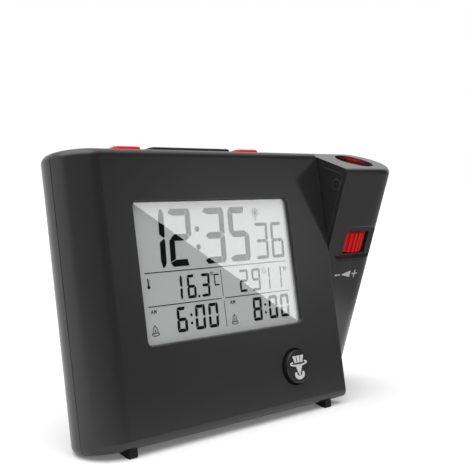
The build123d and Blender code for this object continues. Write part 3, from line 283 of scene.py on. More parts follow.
class MaterialBench(NodeBench):
    """The node tree of a material, with its Principled shader."""

    def __init__(self, name: str) -> None:
        """Start a material.

        Args:
            name: The material's name.
        """
        self.material = bpy.data.materials.new(name)
        self.material.use_nodes = True
        super().__init__(self.material.node_tree)
        self.tree.nodes.clear()
        self.output = self.node("OutputMaterial")
        self.shader = self.node("BsdfPrincipled")
        self.show(self.shader.outputs[0])

    def show(self, surface: bpy.types.NodeSocket) -> None:
        """Use a shader's output as the material's surface."""
        self.tree.links.new(surface, self.output.inputs["Surface"])

    def dress(self, **values: object) -> None:
        """Feed the Principled shader's inputs.

        Args:
            values: Inputs by name, in lower case, with an underscore for each space.
        """
        names = {socket.name.lower().replace(" ", "_"): socket for socket in self.shader.inputs}
        for name, value in values.items():
            self.feed(names[name], value)


class EffectBench(NodeBench):
    """The node tree of a shared effect."""

    def __init__(self, name: str, inputs: dict[str, float], outputs: Iterable[str]) -> None:
        """Start a node group.

        Args:
            name: The group's name.
            inputs: Names and usual values of its inputs.
            outputs: Names of its outputs.
        """
        super().__init__(bpy.data.node_groups.new(name, "ShaderNodeTree"))
        for label, value in inputs.items():
            socket = self.tree.interface.new_socket(name=label, in_out="INPUT", socket_type="NodeSocketFloat")
            socket.default_value = value
        for label in outputs:
            self.tree.interface.new_socket(name=label, in_out="OUTPUT", socket_type="NodeSocketFloat")
        self.given = self.tree.nodes.new("NodeGroupInput")
        self.result = self.tree.nodes.new("NodeGroupOutput")


@dataclass
class Effects:
    """Surface effects that several finishes share, with their proportions."""

    soft_size: float = 1.7
    soft_share: float = 0.6
    edge_samples: int = 6
    rub_turn: Point = (0.995, 0.85)
    edge_patches: Point = (0.35, 0.6)
    edge_least: float = 0.35
    smudge_range: Point = (0.35, 0.68)
    speck_density: float = 9.0
    speck_edge: Point = (0.02, 0.05)
    speck_patches: Point = (0.58, 0.66)
    grain: bpy.types.NodeTree = field(init=False)
    rub_and_highlight: bpy.types.NodeTree = field(init=False)
    handling: bpy.types.NodeTree = field(init=False)

    def __post_init__(self) -> None:
        """Build each node group once."""
        self.grain = self.build_grain()
        self.rub_and_highlight = self.build_rub_and_highlight()
        self.handling = self.build_handling()

    def build_grain(self) -> bpy.types.NodeTree:
        """Build the fine texture that a mould leaves on plastic.

        Returns:
            The node group.
        """
        bench = EffectBench("mould_grain", {"Size": 0.3 * MM}, ["Height", "Tint"])
        size = bench.given.outputs["Size"]
        cells = bench.node("TexVoronoi")
        bench.feed(cells.inputs["Vector"], bench.place())
        bench.feed(cells.inputs["Scale"], bench.math("DIVIDE", 1.0, size))
        soft = bench.noise(bench.math("MULTIPLY", size, self.soft_size), detail=3.0)
        softened = bench.math("MULTIPLY", soft, self.soft_share)
        height = bench.math("ADD", cells.outputs["Distance"], softened)
        bench.feed(bench.result.inputs["Height"], height)
        bench.feed(bench.result.inputs["Tint"], bench.spread(soft, *CLOUDY))
        return bench.tree

    def build_rub_and_highlight(self) -> bpy.types.NodeTree:
        """Build the mask of the edges that hands and cloths polish, where the finishes also paint a highlight
        of the edges' rounding.

        Returns:
            The node group.
        """
        bench = EffectBench("edge_rub", {"Width": 0.4 * MM, "Patch": 6 * MM}, ["Mask"])
        rounded = bench.node("Bevel", samples=self.edge_samples)
        bench.feed(rounded.inputs["Radius"], bench.given.outputs["Width"])
        compare = bench.node("VectorMath", operation="DOT_PRODUCT")
        bench.feed(compare.inputs[0], rounded.outputs[0])
        bench.feed(compare.inputs[1], bench.node("NewGeometry").outputs["Normal"])
        turned = bench.spread(compare.outputs["Value"], *self.rub_turn)
        cloud = bench.noise(bench.given.outputs["Patch"], detail=4.0)
        patches = bench.spread(cloud, *self.edge_patches, self.edge_least, 1.0)
        bench.feed(bench.result.inputs["Mask"], bench.math("MULTIPLY", turned, patches))
        return bench.tree

    def build_handling(self) -> bpy.types.NodeTree:
        """Build the faint smudges and specks that use leaves on a surface.

        Returns:
            The node group.
        """
        bench = EffectBench("handling", {"Size": 18 * MM}, ["Smudge", "Speck"])
        size = bench.given.outputs["Size"]
        smudge = bench.spread(bench.noise(size, detail=3.0), *self.smudge_range)
        dots = bench.node("TexVoronoi")
        bench.feed(dots.inputs["Vector"], bench.place())
        bench.feed(dots.inputs["Scale"], bench.math("DIVIDE", self.speck_density, size))
        near = bench.spread(dots.outputs["Distance"], *self.speck_edge, 1.0, 0.0)
        some = bench.spread(bench.noise(bench.math("MULTIPLY", size, 0.5)), *self.speck_patches)
        bench.feed(bench.result.inputs["Smudge"], smudge)
        bench.feed(bench.result.inputs["Speck"], bench.math("MULTIPLY", near, some))
        return bench.tree


# ---------------------------------------------------------------------------------------------- finishes
class FinishBench(MaterialBench):
    """The node tree of a finish, with the shared effects at hand."""

    def __init__(self, name: str, effects: Effects) -> None:
        """Start a finish.

        Args:
            name: The finish's name.
            effects: The shared effects.
        """
        super().__init__(name)
        self.effects = effects

    def grain(self, size: float) -> bpy.types.Node:
        """Return the mould's texture, with its Height and its Tint."""
        return self.effect(self.effects.grain, size=size)

    def smudge(self, size: float) -> bpy.types.NodeSocket:
        """Return the smudges of use, from 0 to 1."""
        return self.effect(self.effects.handling, size=size).outputs["Smudge"]

    def share(self, value: bpy.types.NodeSocket, part: float) -> bpy.types.NodeSocket:
        """Return a part of a value."""
        return self.math("MULTIPLY", value, part)

    def between(self, value: bpy.types.NodeSocket, ends: Point) -> bpy.types.NodeSocket:
        """Return a value from 0 to 1 moved to the range between two ends."""
        return self.spread(value, 0.0, 1.0, *ends)


@dataclass(frozen=True)
class Finish:
    """A finish with a name, which its kinds dress."""

    name: str

    def dress(self, bench: FinishBench) -> None:
        """Feed the shader, which each kind of finish does in its own way."""
        raise NotImplementedError

    def build(self, effects: Effects) -> bpy.types.Material:
        """Build the material.

        Args:
            effects: The shared effects.

        Returns:
            The material.
        """
        bench = FinishBench(self.name, effects)
        self.dress(bench)
        return bench.material


@dataclass(frozen=True)
class MouldedPlastic(Finish):
    """Plastic with a mould's texture, dusted with specks, and lighter at its edges, partly from rubbing wear
    and partly as a painted highlight of their rounding.
    """

    colour: Colour
    # edge colour: rubbing wear together with a painted highlight of the rounded edges
    rubbed_and_highlight: Colour
    roughness: float
    grain: float = 0.28 * MM
    depth: float = 0.008 * MM
    gloss: float = 0.5
    lightening: float = 1.12
    tint: float = 0.6
    wear_and_highlight: float = 0.7
    polish: float = 0.12
    smudge: float = 0.02
    dust: float = 0.12
    dust_colour: Colour = (0.3, 0.3, 0.3)

    def dress(self, bench: FinishBench) -> None:
        """Feed the shader.

        Args:
            bench: The finish's nodes.
        """
        grain = bench.grain(self.grain)
        rub_and_highlight = bench.effect(bench.effects.rub_and_highlight).outputs["Mask"]
        use = bench.effect(bench.effects.handling)
        lighter = tuple(self.lightening * part for part in self.colour)
        toned = bench.mix(bench.share(grain.outputs["Tint"], self.tint), self.colour, lighter)
        # painted highlight and wear: the edges are lightened towards the edge colour, partly standing in for
        # the light on their rounding
        worn_and_highlit = bench.mix(bench.share(rub_and_highlight, self.wear_and_highlight), toned, self.rubbed_and_highlight)
        dusty = bench.mix(bench.share(use.outputs["Speck"], self.dust), worn_and_highlit, self.dust_colour)
        smooth = bench.math("SUBTRACT", self.roughness, bench.share(rub_and_highlight, self.polish))
        rough = bench.math("ADD", smooth, bench.share(use.outputs["Smudge"], self.smudge))
        bench.dress(base_color=dusty, roughness=rough, specular_ior_level=self.gloss)
        bench.dress(normal=bench.bump(grain.outputs["Height"], self.depth))


@dataclass(frozen=True)
class SoftRubber(Finish):
    """Matt rubber that gathers dust."""

    colour: Colour
    dust: float
    dust_colour: Colour = (0.22, 0.21, 0.2)
    dust_size: float = 7 * MM
    grain: float = 0.5 * MM
    depth: float = 0.01 * MM
    roughness: Point = (0.68, 0.82)
    gloss: float = 0.3

    def dress(self, bench: FinishBench) -> None:
        """Feed the shader.

        Args:
            bench: The finish's nodes.
        """
        grain = bench.grain(self.grain)
        film = bench.share(bench.smudge(self.dust_size), self.dust)
        bench.dress(base_color=bench.mix(film, self.colour, self.dust_colour), specular_ior_level=self.gloss)
        bench.dress(roughness=bench.between(grain.outputs["Tint"], self.roughness))
        bench.dress(normal=bench.bump(grain.outputs["Height"], self.depth))


@dataclass(frozen=True)
class BandedRubber(Finish):
    """Contact strip of dark conducting layers between pale ones."""

    pitch: float
    pale: Colour = (0.52, 0.3, 0.3)
    dark: Colour = (0.03, 0.03, 0.032)
    grain: float = 0.2 * MM
    roughness: Point = (0.5, 0.66)

    def dress(self, bench: FinishBench) -> None:
        """Feed the shader.

        Args:
            bench: The finish's nodes.
        """
        turns = bench.math("DIVIDE", bench.axis("X"), self.pitch)
        layer = bench.math("GREATER_THAN", bench.math("FRACT", turns), 0.5)
        bench.dress(base_color=bench.mix(layer, self.pale, self.dark))
        bench.dress(roughness=bench.between(bench.grain(self.grain).outputs["Tint"], self.roughness))


@dataclass(frozen=True)
class ClearPane(Finish):
    """Polished clear plastic or glass that lets light through to what lies behind it, and can glow with
    painted light of its own.
    """

    tint: Colour
    index: float
    glow: Colour = BLACK
    strength: float = 0.0
    haze: float = 0.012
    haze_size: float = 30 * MM

    def dress(self, bench: FinishBench) -> None:
        """Feed the shader.

        Args:
            bench: The finish's nodes.
        """
        haze = bench.share(bench.smudge(self.haze_size), self.haze)
        bench.dress(base_color=self.tint, roughness=haze, ior=self.index, transmission_weight=1.0)
        # painted light: an emission that makes the pane glow, used for the lens lit by the lamp
        bench.dress(emission_color=self.glow, emission_strength=self.strength)
        path = bench.node("LightPath")
        through = bench.math("MAXIMUM", path.outputs["Is Shadow Ray"], path.outputs["Is Diffuse Ray"])
        blend = bench.node("MixShader")
        bench.feed(blend.inputs[0], through)
        bench.feed(blend.inputs[1], bench.shader.outputs[0])
        bench.feed(blend.inputs[2], bench.node("BsdfTransparent").outputs[0])
        bench.show(blend.outputs[0])


@dataclass(frozen=True)
class DisplayGlass(Finish):
    """Grey liquid-crystal glass over a pale reflector."""

    colour: Colour
    shaded: Colour
    cloud: float = 0.35
    cloud_size: float = 40 * MM
    mottle: float = 0.14
    mottle_size: float = 0.12 * MM
    depth: float = 0.002 * MM
    roughness: Point = (0.38, 0.5)
    gloss: float = 0.25

    def dress(self, bench: FinishBench) -> None:
        """Feed the shader.

        Args:
            bench: The finish's nodes.
        """
        cloud = bench.spread(bench.noise(self.cloud_size, detail=1.0), *CLOUDY)
        fine = bench.noise(self.mottle_size, detail=1.0)
        mottled = bench.mix(bench.share(fine, self.mottle), self.colour, self.shaded)
        bench.dress(base_color=bench.mix(bench.share(cloud, self.cloud), mottled, self.shaded))
        bench.dress(roughness=bench.spread(fine, *CLOUDY, *self.roughness), specular_ior_level=self.gloss)
        bench.dress(normal=bench.bump(fine, self.depth))


@dataclass(frozen=True)
class Print(Finish):
    """A thin printed or etched layer with slightly uneven cover."""

    colour: Colour
    thin: Colour
    roughness: float
    gloss: float = 0.4
    thinning: float = 0.5
    patch_size: float = 0.6 * MM
    patch_range: Point = (0.55, 0.75)
    depth: float = 0.004 * MM
    smudge: float = 0.08
    smudge_size: float = 6 * MM

    def dress(self, bench: FinishBench) -> None:
        """Feed the shader.

        Args:
            bench: The finish's nodes.
        """
        patches = bench.spread(bench.noise(self.patch_size, detail=3.0), *self.patch_range)
        bench.dress(base_color=bench.mix(bench.share(patches, self.thinning), self.colour, self.thin))
        rough = bench.math("ADD", self.roughness, bench.share(bench.smudge(self.smudge_size), self.smudge))
        bench.dress(roughness=rough, specular_ior_level=self.gloss)
        bench.dress(normal=bench.bump(patches, self.depth))


@dataclass(frozen=True)
class PlatedMetal(Finish):
    """Plated steel with fine drawn lines and darker spots."""

    colour: Colour
    tarnish: Colour
    roughness: float
    tarnishing: float = 0.4
    spot_size: float = 3 * MM
    line_size: float = 0.15 * MM
    line_stretch: Point = (8.0, 1.0)
    line_roughness: float = 0.15
    line_depth: float = 0.003 * MM

    def dress(self, bench: FinishBench) -> None:
        """Feed the shader.

        Args:
            bench: The finish's nodes.
        """
        lines = bench.noise(self.line_size, detail=3.0, stretch=self.line_stretch)
        spots = bench.share(bench.smudge(self.spot_size), self.tarnishing)
        rough = bench.math("ADD", self.roughness, bench.share(lines, self.line_roughness))
        bench.dress(base_color=bench.mix(spots, self.colour, self.tarnish), metallic=1.0, roughness=rough)
        bench.dress(normal=bench.bump(lines, self.line_depth))


@dataclass(frozen=True)
class Laminate(Finish):
    """Circuit board with solder resist over copper tracks."""

    resist: Colour
    track: Colour
    pad: Colour
    pitch: float
    track_offset: float = 0.37
    track_squash: float = 1.6
    track_rows: int = 3
    track_share: float = 0.5
    track_width: float = 0.03
    pad_share: float = 0.4
    pad_radius: float = 0.14
    depth: float = 0.03 * MM
    roughness: Point = (0.24, 0.38)
    smudge_size: float = 25 * MM

    def dress(self, bench: FinishBench) -> None:
        """Feed the shader.

        Args:
            bench: The finish's nodes.
        """
        squash = {"squash": self.track_squash, "squash_frequency": self.track_rows}
        grid = bench.node("TexBrick", offset=self.track_offset, **squash)
        swapped = bench.node("CombineXYZ")
        for number, name in enumerate("XZ"):
            bench.feed(swapped.inputs[number], bench.axis(name))
        bench.feed(grid.inputs["Vector"], swapped.outputs[0])
        bench.feed(grid.inputs["Scale"], self.track_share / self.pitch)
        bench.feed(grid.inputs["Mortar Size"], self.track_width)
        holes = bench.node("TexVoronoi")
        bench.feed(holes.inputs["Vector"], bench.place())
        bench.feed(holes.inputs["Scale"], self.pad_share / self.pitch)
        dots = bench.math("LESS_THAN", holes.outputs["Distance"], self.pad_radius)
        tracks = bench.mix(grid.outputs["Fac"], self.resist, self.track)
        bench.dress(base_color=bench.mix(dots, tracks, self.pad), metallic=dots)
        bench.dress(roughness=bench.between(bench.smudge(self.smudge_size), self.roughness))
        bench.dress(normal=bench.bump(bench.math("MAXIMUM", grid.outputs["Fac"], dots), self.depth))


@dataclass(frozen=True)
class SinteredCore(Finish):
    """Dark sintered ferrite with open pores."""

    colour: Colour
    pore: Colour = (0.015, 0.015, 0.016)
    pore_range: Point = (0.35, 0.5)
    grain: float = 0.6 * MM
    depth: float = 0.03 * MM
    roughness: Point = (0.8, 0.55)

    def dress(self, bench: FinishBench) -> None:
        """Feed the shader.

        Args:
            bench: The finish's nodes.
        """
        pores = bench.spread(bench.grain(self.grain).outputs["Height"], *self.pore_range)
        bench.dress(base_color=bench.mix(pores, self.pore, self.colour))
        bench.dress(roughness=bench.between(pores, self.roughness), normal=bench.bump(pores, self.depth))


@dataclass(frozen=True)
class WoundWire(Finish):
    """Enamelled wire wound round the x axis, with painted shade darkening the grooves between its turns."""

    colour: Colour
    wire: float
    groove_shade: Colour = (0.16, 0.04, 0.015)
    groove_share: float = 0.2
    smudge: float = 0.2
    smudge_size: float = 4 * MM
    metal: float = 0.8
    enamel: float = 0.4
    roughness: Point = (0.5, 0.25)

    def dress(self, bench: FinishBench) -> None:
        """Feed the shader.

        Args:
            bench: The finish's nodes.
        """
        turns = bench.math("FRACT", bench.math("DIVIDE", bench.axis("X"), self.wire))
        crown = bench.math("SINE", bench.share(turns, math.pi))
        shade = bench.math("ADD", crown, bench.share(bench.smudge(self.smudge_size), self.smudge))
        lit = bench.spread(shade, self.groove_share, 1.0)
        # painted shade: the base colour darkens towards the grooves between the turns
        bench.dress(base_color=bench.mix(lit, self.groove_shade, self.colour), metallic=self.metal)
        bench.dress(roughness=bench.between(crown, self.roughness), coat_weight=self.enamel)
        bench.dress(normal=bench.bump(crown, self.wire / 2))


@dataclass(frozen=True)
class CellSleeve(Finish):
    """Printed battery sleeve between bare metal ends."""

    sleeve: Colour
    band: Colour
    metal: Colour
    sleeve_end: float
    band_start: float
    scuff: Colour = (0.02, 0.02, 0.022)
    scuffing: float = 0.25
    scuff_size: float = 9 * MM
    dent_size: float = 1.2 * MM
    dent_depth: float = 0.01 * MM
    roughness: Point = (0.22, 0.36)

    def dress(self, bench: FinishBench) -> None:
        """Feed the shader.

        Args:
            bench: The finish's nodes.
        """
        along = bench.axis("X")
        bare = bench.math("GREATER_THAN", along, self.sleeve_end)
        banded = bench.math("GREATER_THAN", along, self.band_start)
        smudge = bench.smudge(self.scuff_size)
        scuffed = bench.mix(bench.share(smudge, self.scuffing), self.sleeve, self.scuff)
        printed = bench.mix(banded, scuffed, self.band)
        bench.dress(base_color=bench.mix(bare, printed, self.metal), metallic=bare)
        bench.dress(roughness=bench.between(smudge, self.roughness))
        bench.dress(normal=bench.bump(bench.noise(self.dent_size), self.dent_depth))


@dataclass(frozen=True)
class GlowingResin(Finish):
    """Clear red resin of the lit projector lamp."""

    colour: Colour
    strength: float
    shade: Colour = (0.3, 0.0, 0.0)
    shading: float = 0.2
    bright: Colour = (1.0, 0.03, 0.02)
    dim: Colour = (0.6, 0.0, 0.0)
    cloud_size: float = 2 * MM
    roughness: float = 0.12

    def dress(self, bench: FinishBench) -> None:
        """Feed the shader.

        Args:
            bench: The finish's nodes.
        """
        cloud = bench.smudge(self.cloud_size)
        tone = bench.mix(bench.share(cloud, self.shading), self.colour, self.shade)
        bench.dress(base_color=tone, roughness=self.roughness)
        bench.dress(emission_color=bench.mix(cloud, self.bright, self.dim), emission_strength=self.strength)


def grey(tone: float) -> Colour:
    """Return a neutral colour."""
    return tone, tone, tone


def finish_book(effects: Effects) -> dict[Slot, bpy.types.Material]:
    """Build every slot's material.

    Args:
        effects: The shared effects.

    Returns:
        The materials by slot.
    """
    recipes = {
        # the second colour of each moulded plastic is its edges' wear and painted highlight
        Slot.BODY: MouldedPlastic("anthracite_body", (0.024, 0.024, 0.0245), grey(0.17), 0.29),
        Slot.KEY: MouldedPlastic("satin_black_key", (0.017, 0.017, 0.018), grey(0.24), 0.34, gloss=0.4),
        Slot.RED: MouldedPlastic(
            "signal_red", (0.95, 0.005, 0.014), (0.98, 0.12, 0.12), 0.42, 0.4 * MM, 0.004 * MM, 0.3
        ),
        Slot.WINDOW: ClearPane("display_window", (0.97, 0.98, 0.98), 1.49),
        Slot.DISPLAY: DisplayGlass("display_glass", (0.63, 0.635, 0.63), (0.56, 0.565, 0.56)),
        Slot.WHITE: MouldedPlastic("plain_white", (0.78, 0.78, 0.76), (0.85, 0.85, 0.84), 0.45),
        Slot.STRIP: BandedRubber("contact_strip", 0.3 * MM),
        Slot.FOOT: SoftRubber("foot_rubber", grey(0.006), 0.06),
        Slot.LEAD: SoftRubber("lead_insulation", (0.42, 0.012, 0.012), 0.04),
        Slot.BOARD: Laminate(
            "green_laminate", (0.01, 0.1, 0.035), (0.02, 0.2, 0.07), (0.75, 0.62, 0.35), 1.6 * MM
        ),
        Slot.BLACK: MouldedPlastic("inner_black", (0.009, 0.009, 0.0095), grey(0.05), 0.45, 0.2 * MM),
        Slot.SCREW: PlatedMetal("black_zinc_plate", (0.05, 0.05, 0.052), grey(0.02), 0.4),
        Slot.CONTACT: PlatedMetal("nickel_plate", (0.72, 0.7, 0.66), (0.5, 0.47, 0.42), 0.14),
        Slot.FERRITE: SinteredCore("ferrite_core", (0.06, 0.06, 0.065)),
        Slot.COIL: WoundWire("coil_wire", (0.72, 0.27, 0.1), 0.25 * MM),
        Slot.CELL: CellSleeve(
            "cell_sleeve", (0.03, 0.04, 0.06), (0.6, 0.32, 0.1), (0.7, 0.69, 0.66), 7.6 * MM, -4 * MM
        ),
        # painted glow: the lens glass emits the lamp's red light itself
        Slot.LENS: ClearPane("lens_glass", (0.98, 0.97, 0.97), 1.5, (1.0, 0.012, 0.01), 6.0),
        Slot.LED: GlowingResin("lamp_resin", (0.7, 0.01, 0.01), 6.0),
    }
    materials = {slot: recipe.build(effects) for slot, recipe in recipes.items()}
    LOG.info("built %d finishes", len(materials))
    return materials


class Ink(Enum):
    """Inks of the printed and etched pieces."""

    FIGURE = Print("display_figure", grey(0.003), grey(0.006), 0.5, 0.1)
    SIGN = Print("display_sign", grey(0.01), grey(0.025), 0.5, 0.1)
    WHITE = Print("white_print", grey(0.8), grey(0.55), 0.5)
    GREY = Print("grey_print", grey(0.3), grey(0.2), 0.5)
    # painted shadow: the black print of the ring round the front button
    BLACK = Print("black_print", grey(0.002), grey(0.006), 0.7, 0.1)


# ---------------------------------------------------------------------------------------------- the workbench
class Blank:
    """A mesh object that is shaped in edit mode, in millimetres, from a primitive to a finished shape."""

    start_radius: float = 100.0
    near: float = 1.0

    def __init__(self, part: bpy.types.Object) -> None:
        """Take the primitive that was just added and open it for shaping."""
        self.part = part
        bpy.ops.object.mode_set(mode="EDIT")

    @staticmethod
    def clear() -> None:
        """Deselect every object."""
        bpy.ops.object.select_all(action="DESELECT")

    @classmethod
    def block(cls, size: tuple[float, float, float]) -> Blank:
        """Return a block around the origin, open for shaping.

        Args:
            size: Its length along x, y and z.

        Returns:
            The blank.
        """
        cls.clear()
        bpy.ops.mesh.primitive_cube_add(size=1.0, location=(0, 0, 0))
        part = bpy.context.object
        part.data.transform(Matrix.Diagonal((*size, 1.0)))
        return cls(part)

    @classmethod
    def disc(cls, radii: Point, sides: int, filled: bool) -> Blank:
        """Return a flat oval around the origin, open for shaping.

        Args:
            radii: Half its width and half its height.
            sides: Number of corners.
            filled: Whether it has a face or is only an outline.

        Returns:
            The blank.
        """
        cls.clear()
        fill = "NGON" if filled else "NOTHING"
        bpy.ops.mesh.primitive_circle_add(vertices=sides, radius=1.0, fill_type=fill, location=(0, 0, 0))
        part = bpy.context.object
        part.data.transform(Matrix.Diagonal((*radii, 1.0, 1.0)))
        return cls(part)

    @classmethod
    def outline(cls, points: list[Point]) -> Blank:
        """Return a flat face with an outline, open for shaping.

        Args:
            points: The outline's corners in order.

        Returns:
            The blank.
        """
        cls.clear()
        bpy.ops.mesh.primitive_circle_add(
            vertices=len(points), radius=cls.start_radius, fill_type="NGON", location=(0, 0, 0)
        )
        starts = [corner.co.copy() for corner in bpy.context.object.data.vertices]
        blank = cls(bpy.context.object)
        for start, (x, y) in zip(starts, points):
            blank.pick(Pick.CORNERS, lambda corner, start=start: (corner - start).length < cls.near)
            blank.move((x - start.x, y - start.y, 0))
        return blank

    def pick(self, kind: Pick, test: Callable[[Vector], bool]) -> None:
        """Select the elements whose middle passes a test.

        Args:
            kind: Corners, edges or faces.
            test: Says whether a middle is wanted.
        """
        bpy.ops.mesh.select_mode(type=kind.value)
        bpy.ops.mesh.select_all(action="DESELECT")
        form = bmesh.from_edit_mesh(self.part.data)
        if kind is Pick.CORNERS:
            for corner in form.verts:
                corner.select_set(test(corner.co))
        elif kind is Pick.EDGES:
            for edge in form.edges:
                edge.select_set(test((edge.verts[0].co + edge.verts[1].co) / 2))
        else:
            for face in form.faces:
                face.select_set(test(face.calc_center_median()))
        form.select_flush_mode()
        bmesh.update_edit_mesh(self.part.data)

    def pick_all(self) -> None:
        """Select the whole blank."""
        bpy.ops.mesh.select_all(action="SELECT")

    def move(self, shift: tuple[float, float, float]) -> None:
        """Move what is selected."""
        bpy.ops.transform.translate(value=shift)

    def scale(self, factors: tuple[float, float, float]) -> None:
        """Scale what is selected about the origin."""
        bpy.ops.transform.resize(value=factors, center_override=(0, 0, 0))

    def extrude(self, shift: tuple[float, float, float]) -> None:
        """Extrude the selected faces and move the new ones."""
        bpy.ops.mesh.extrude_region_move(TRANSFORM_OT_translate={"value": shift})

    def bevel(self, size: float, segments: int = 2) -> None:
        """Bevel the selected edges."""
        bpy.ops.mesh.bevel(offset=size, segments=segments, affect="EDGES")

    def done(self) -> bpy.types.Object:
        """Turn every face outwards and leave edit mode.

        Returns:
            The finished object.
        """
        self.pick_all()
        bpy.ops.mesh.normals_make_consistent(inside=False)
        bpy.ops.object.mode_set(mode="OBJECT")
        return self.part


def copy_of(part: bpy.types.Object, place: Matrix) -> bpy.types.Object:
    """Copy an object with its own mesh and put the copy in place.

    Args:
        part: The object that was modelled once.
        place: Where the copy goes.

    Returns:
        The copy, with its place in its mesh.
    """
    twin = part.copy()
    twin.data = part.data.copy()
    twin.data.transform(place)
    bpy.context.collection.objects.link(twin)
    return twin


def discard(parts: Iterable[bpy.types.Object]) -> None:
    """Remove patterns that only copies were taken from."""
    for part in parts:
        bpy.data.objects.remove(part)


def joined(parts: list[bpy.types.Object]) -> bpy.types.Object:
    """Join objects.

    Args:
        parts: The objects, of which the first one takes in the others.

    Returns:
        The first one.
    """
    Blank.clear()
    for part in parts:
        part.select_set(True)
    bpy.context.view_layer.objects.active = parts[0]
    if len(parts) > 1:
        bpy.ops.object.join()
    return parts[0]


def flat_place(x: float, y: float, angle: float = 0.0) -> Matrix:
    """Return the matrix of a place on a surface, turned about its normal by an angle in radians."""
    return Matrix.Translation((x, y, 0)) @ Matrix.Rotation(angle, 4, "Z")


def stroke(start: Point, end: Point, width: float, rise: float) -> bpy.types.Object:
    """Model a stroke with round ends.

    Args:
        start: Middle of one end.
        end: Middle of the other end.
        width: The stroke's width.
        rise: Its height above the surface.

    Returns:
        The stroke, lying on the surface.
    """
    run = Vector(end) - Vector(start)
    blank = Blank.disc((width / 2, width / 2), STROKE_SIDES, True)
    blank.pick(Pick.CORNERS, lambda corner: corner.x > 0.01 * width)
    blank.move((run.length, 0, 0))
    blank.pick_all()
    blank.extrude((0, 0, rise))
    part = blank.done()
    part.data.transform(flat_place(*start, math.atan2(run.y, run.x)))
    return part


def strokes(points: list[Point], width: float, rise: float) -> list[bpy.types.Object]:
    """Model a line of strokes from point to point."""
    return [stroke(start, end, width, rise) for start, end in zip(points, points[1:])]


def raised_outline(points: list[Point], rise: float) -> bpy.types.Object:
    """Model a flat shape from its outline.

    Args:
        points: The outline's corners in order.
        rise: Its height above the surface.

    Returns:
        The shape, lying on the surface.
    """
    blank = Blank.outline(points)
    blank.pick_all()
    blank.extrude((0, 0, rise))
    return blank.done()


def wedge(bottom: Point, top: Point, base: Point, height: float, rise: float) -> bpy.types.Object:
    """Model a flat bar whose two ends differ in width and place.

    Args:
        bottom: Lower end's middle and width along x.
        top: Upper end's middle and width along x.
        base: Where zero lies on the surface.
        height: Length from the lower end to the upper end.
        rise: Height above the surface.

    Returns:
        The bar, lying on the surface.
    """
    blank = Blank.block((1.0, height, rise))
    for end, (middle, width) in ((-1, bottom), (1, top)):
        blank.pick(Pick.CORNERS, lambda corner, end=end: corner.y * end > 0)
        blank.scale((width, 1, 1))
        blank.move((middle, 0, 0))
    part = blank.done()
    part.data.transform(Matrix.Translation((base[0], base[1] + height / 2, rise / 2)))
    return part


def band(
    middle: Point, radii: Point, inner: Point, rise: float, lift: float = 0.0, opening: Point = CLOSED
) -> bpy.types.Object:
    """Model a flat ring, or a part of one.

    Args:
        middle: The ring's middle.
        radii: Half its outer width and height.
        inner: Size of the hole as shares of the outer width and height.
        rise: Height above the surface.
        lift: How far the hole's middle lies above the ring's middle.
        opening: Angles in degrees between which the ring is open.

    Returns:
        The ring, lying on the surface.
    """
    blank = Blank.disc(radii, RING_SIDES, False)

    def in_opening(corner: Vector) -> bool:
        """Say whether a corner lies in the ring's opening."""
        angle = math.degrees(math.atan2(corner.y / radii[1], corner.x / radii[0])) % 360
        return opening[0] < angle < opening[1]

    if opening != CLOSED:
        blank.pick(Pick.CORNERS, in_opening)
        bpy.ops.mesh.delete(type="VERT")
    bpy.ops.mesh.select_mode(type="EDGE")
    blank.pick_all()
    bpy.ops.mesh.extrude_edges_move(TRANSFORM_OT_translate={"value": (0, 0, 0)})
    blank.scale((*inner, 1))
    blank.move((0, lift, 0))
    blank.pick_all()
    blank.extrude((0, 0, rise))
    part = blank.done()
    part.data.transform(flat_place(*middle))
    return part


def spot(middle: Point, radii: Point, rise: float) -> bpy.types.Object:
    """Model a flat oval that is a little smaller at its top.

    Args:
        middle: Its middle.
        radii: Half its width and half its height.
        rise: Its height above the surface.

    Returns:
        The oval, lying on the surface.
    """
    blank = Blank.disc(radii, SPOT_SIDES, True)
    blank.pick_all()
    blank.extrude((0, 0, rise))
    blank.pick(Pick.FACES, lambda centre: centre.z > 0.9 * rise)
    blank.scale((SPOT_TOP, SPOT_TOP, 1))
    part = blank.done()
    part.data.transform(flat_place(*middle))
    return part


# ---------------------------------------------------------------------------------------------- surfaces
@dataclass(frozen=True)
class Surface:
    """A flat place on the clock that carries prints: x to the right and y up as one looks at it."""

    matrix: Matrix

    @classmethod
    def facing(cls, origin: Vector, normal: Vector, right: Vector) -> Surface:
        """Return the surface with an origin, a normal and a direction to the right."""
        up = normal.cross(right)
        return cls(Matrix.Translation(origin) @ Matrix((right, up, normal)).transposed().to_4x4())

    def raised(self, height: float) -> Surface:
        """Return the same surface moved out along its normal."""
        return Surface(self.matrix @ Matrix.Translation((0, 0, height)))

    def shifted(self, x: float, y: float) -> Surface:
        """Return the same surface with its origin moved along it."""
        return Surface(self.matrix @ Matrix.Translation((x, y, 0)))

    def point(self, x: float, y: float) -> Vector:
        """Return the place in the clock's frame of a point on the surface."""
        return self.matrix @ Vector((x, y, 0))


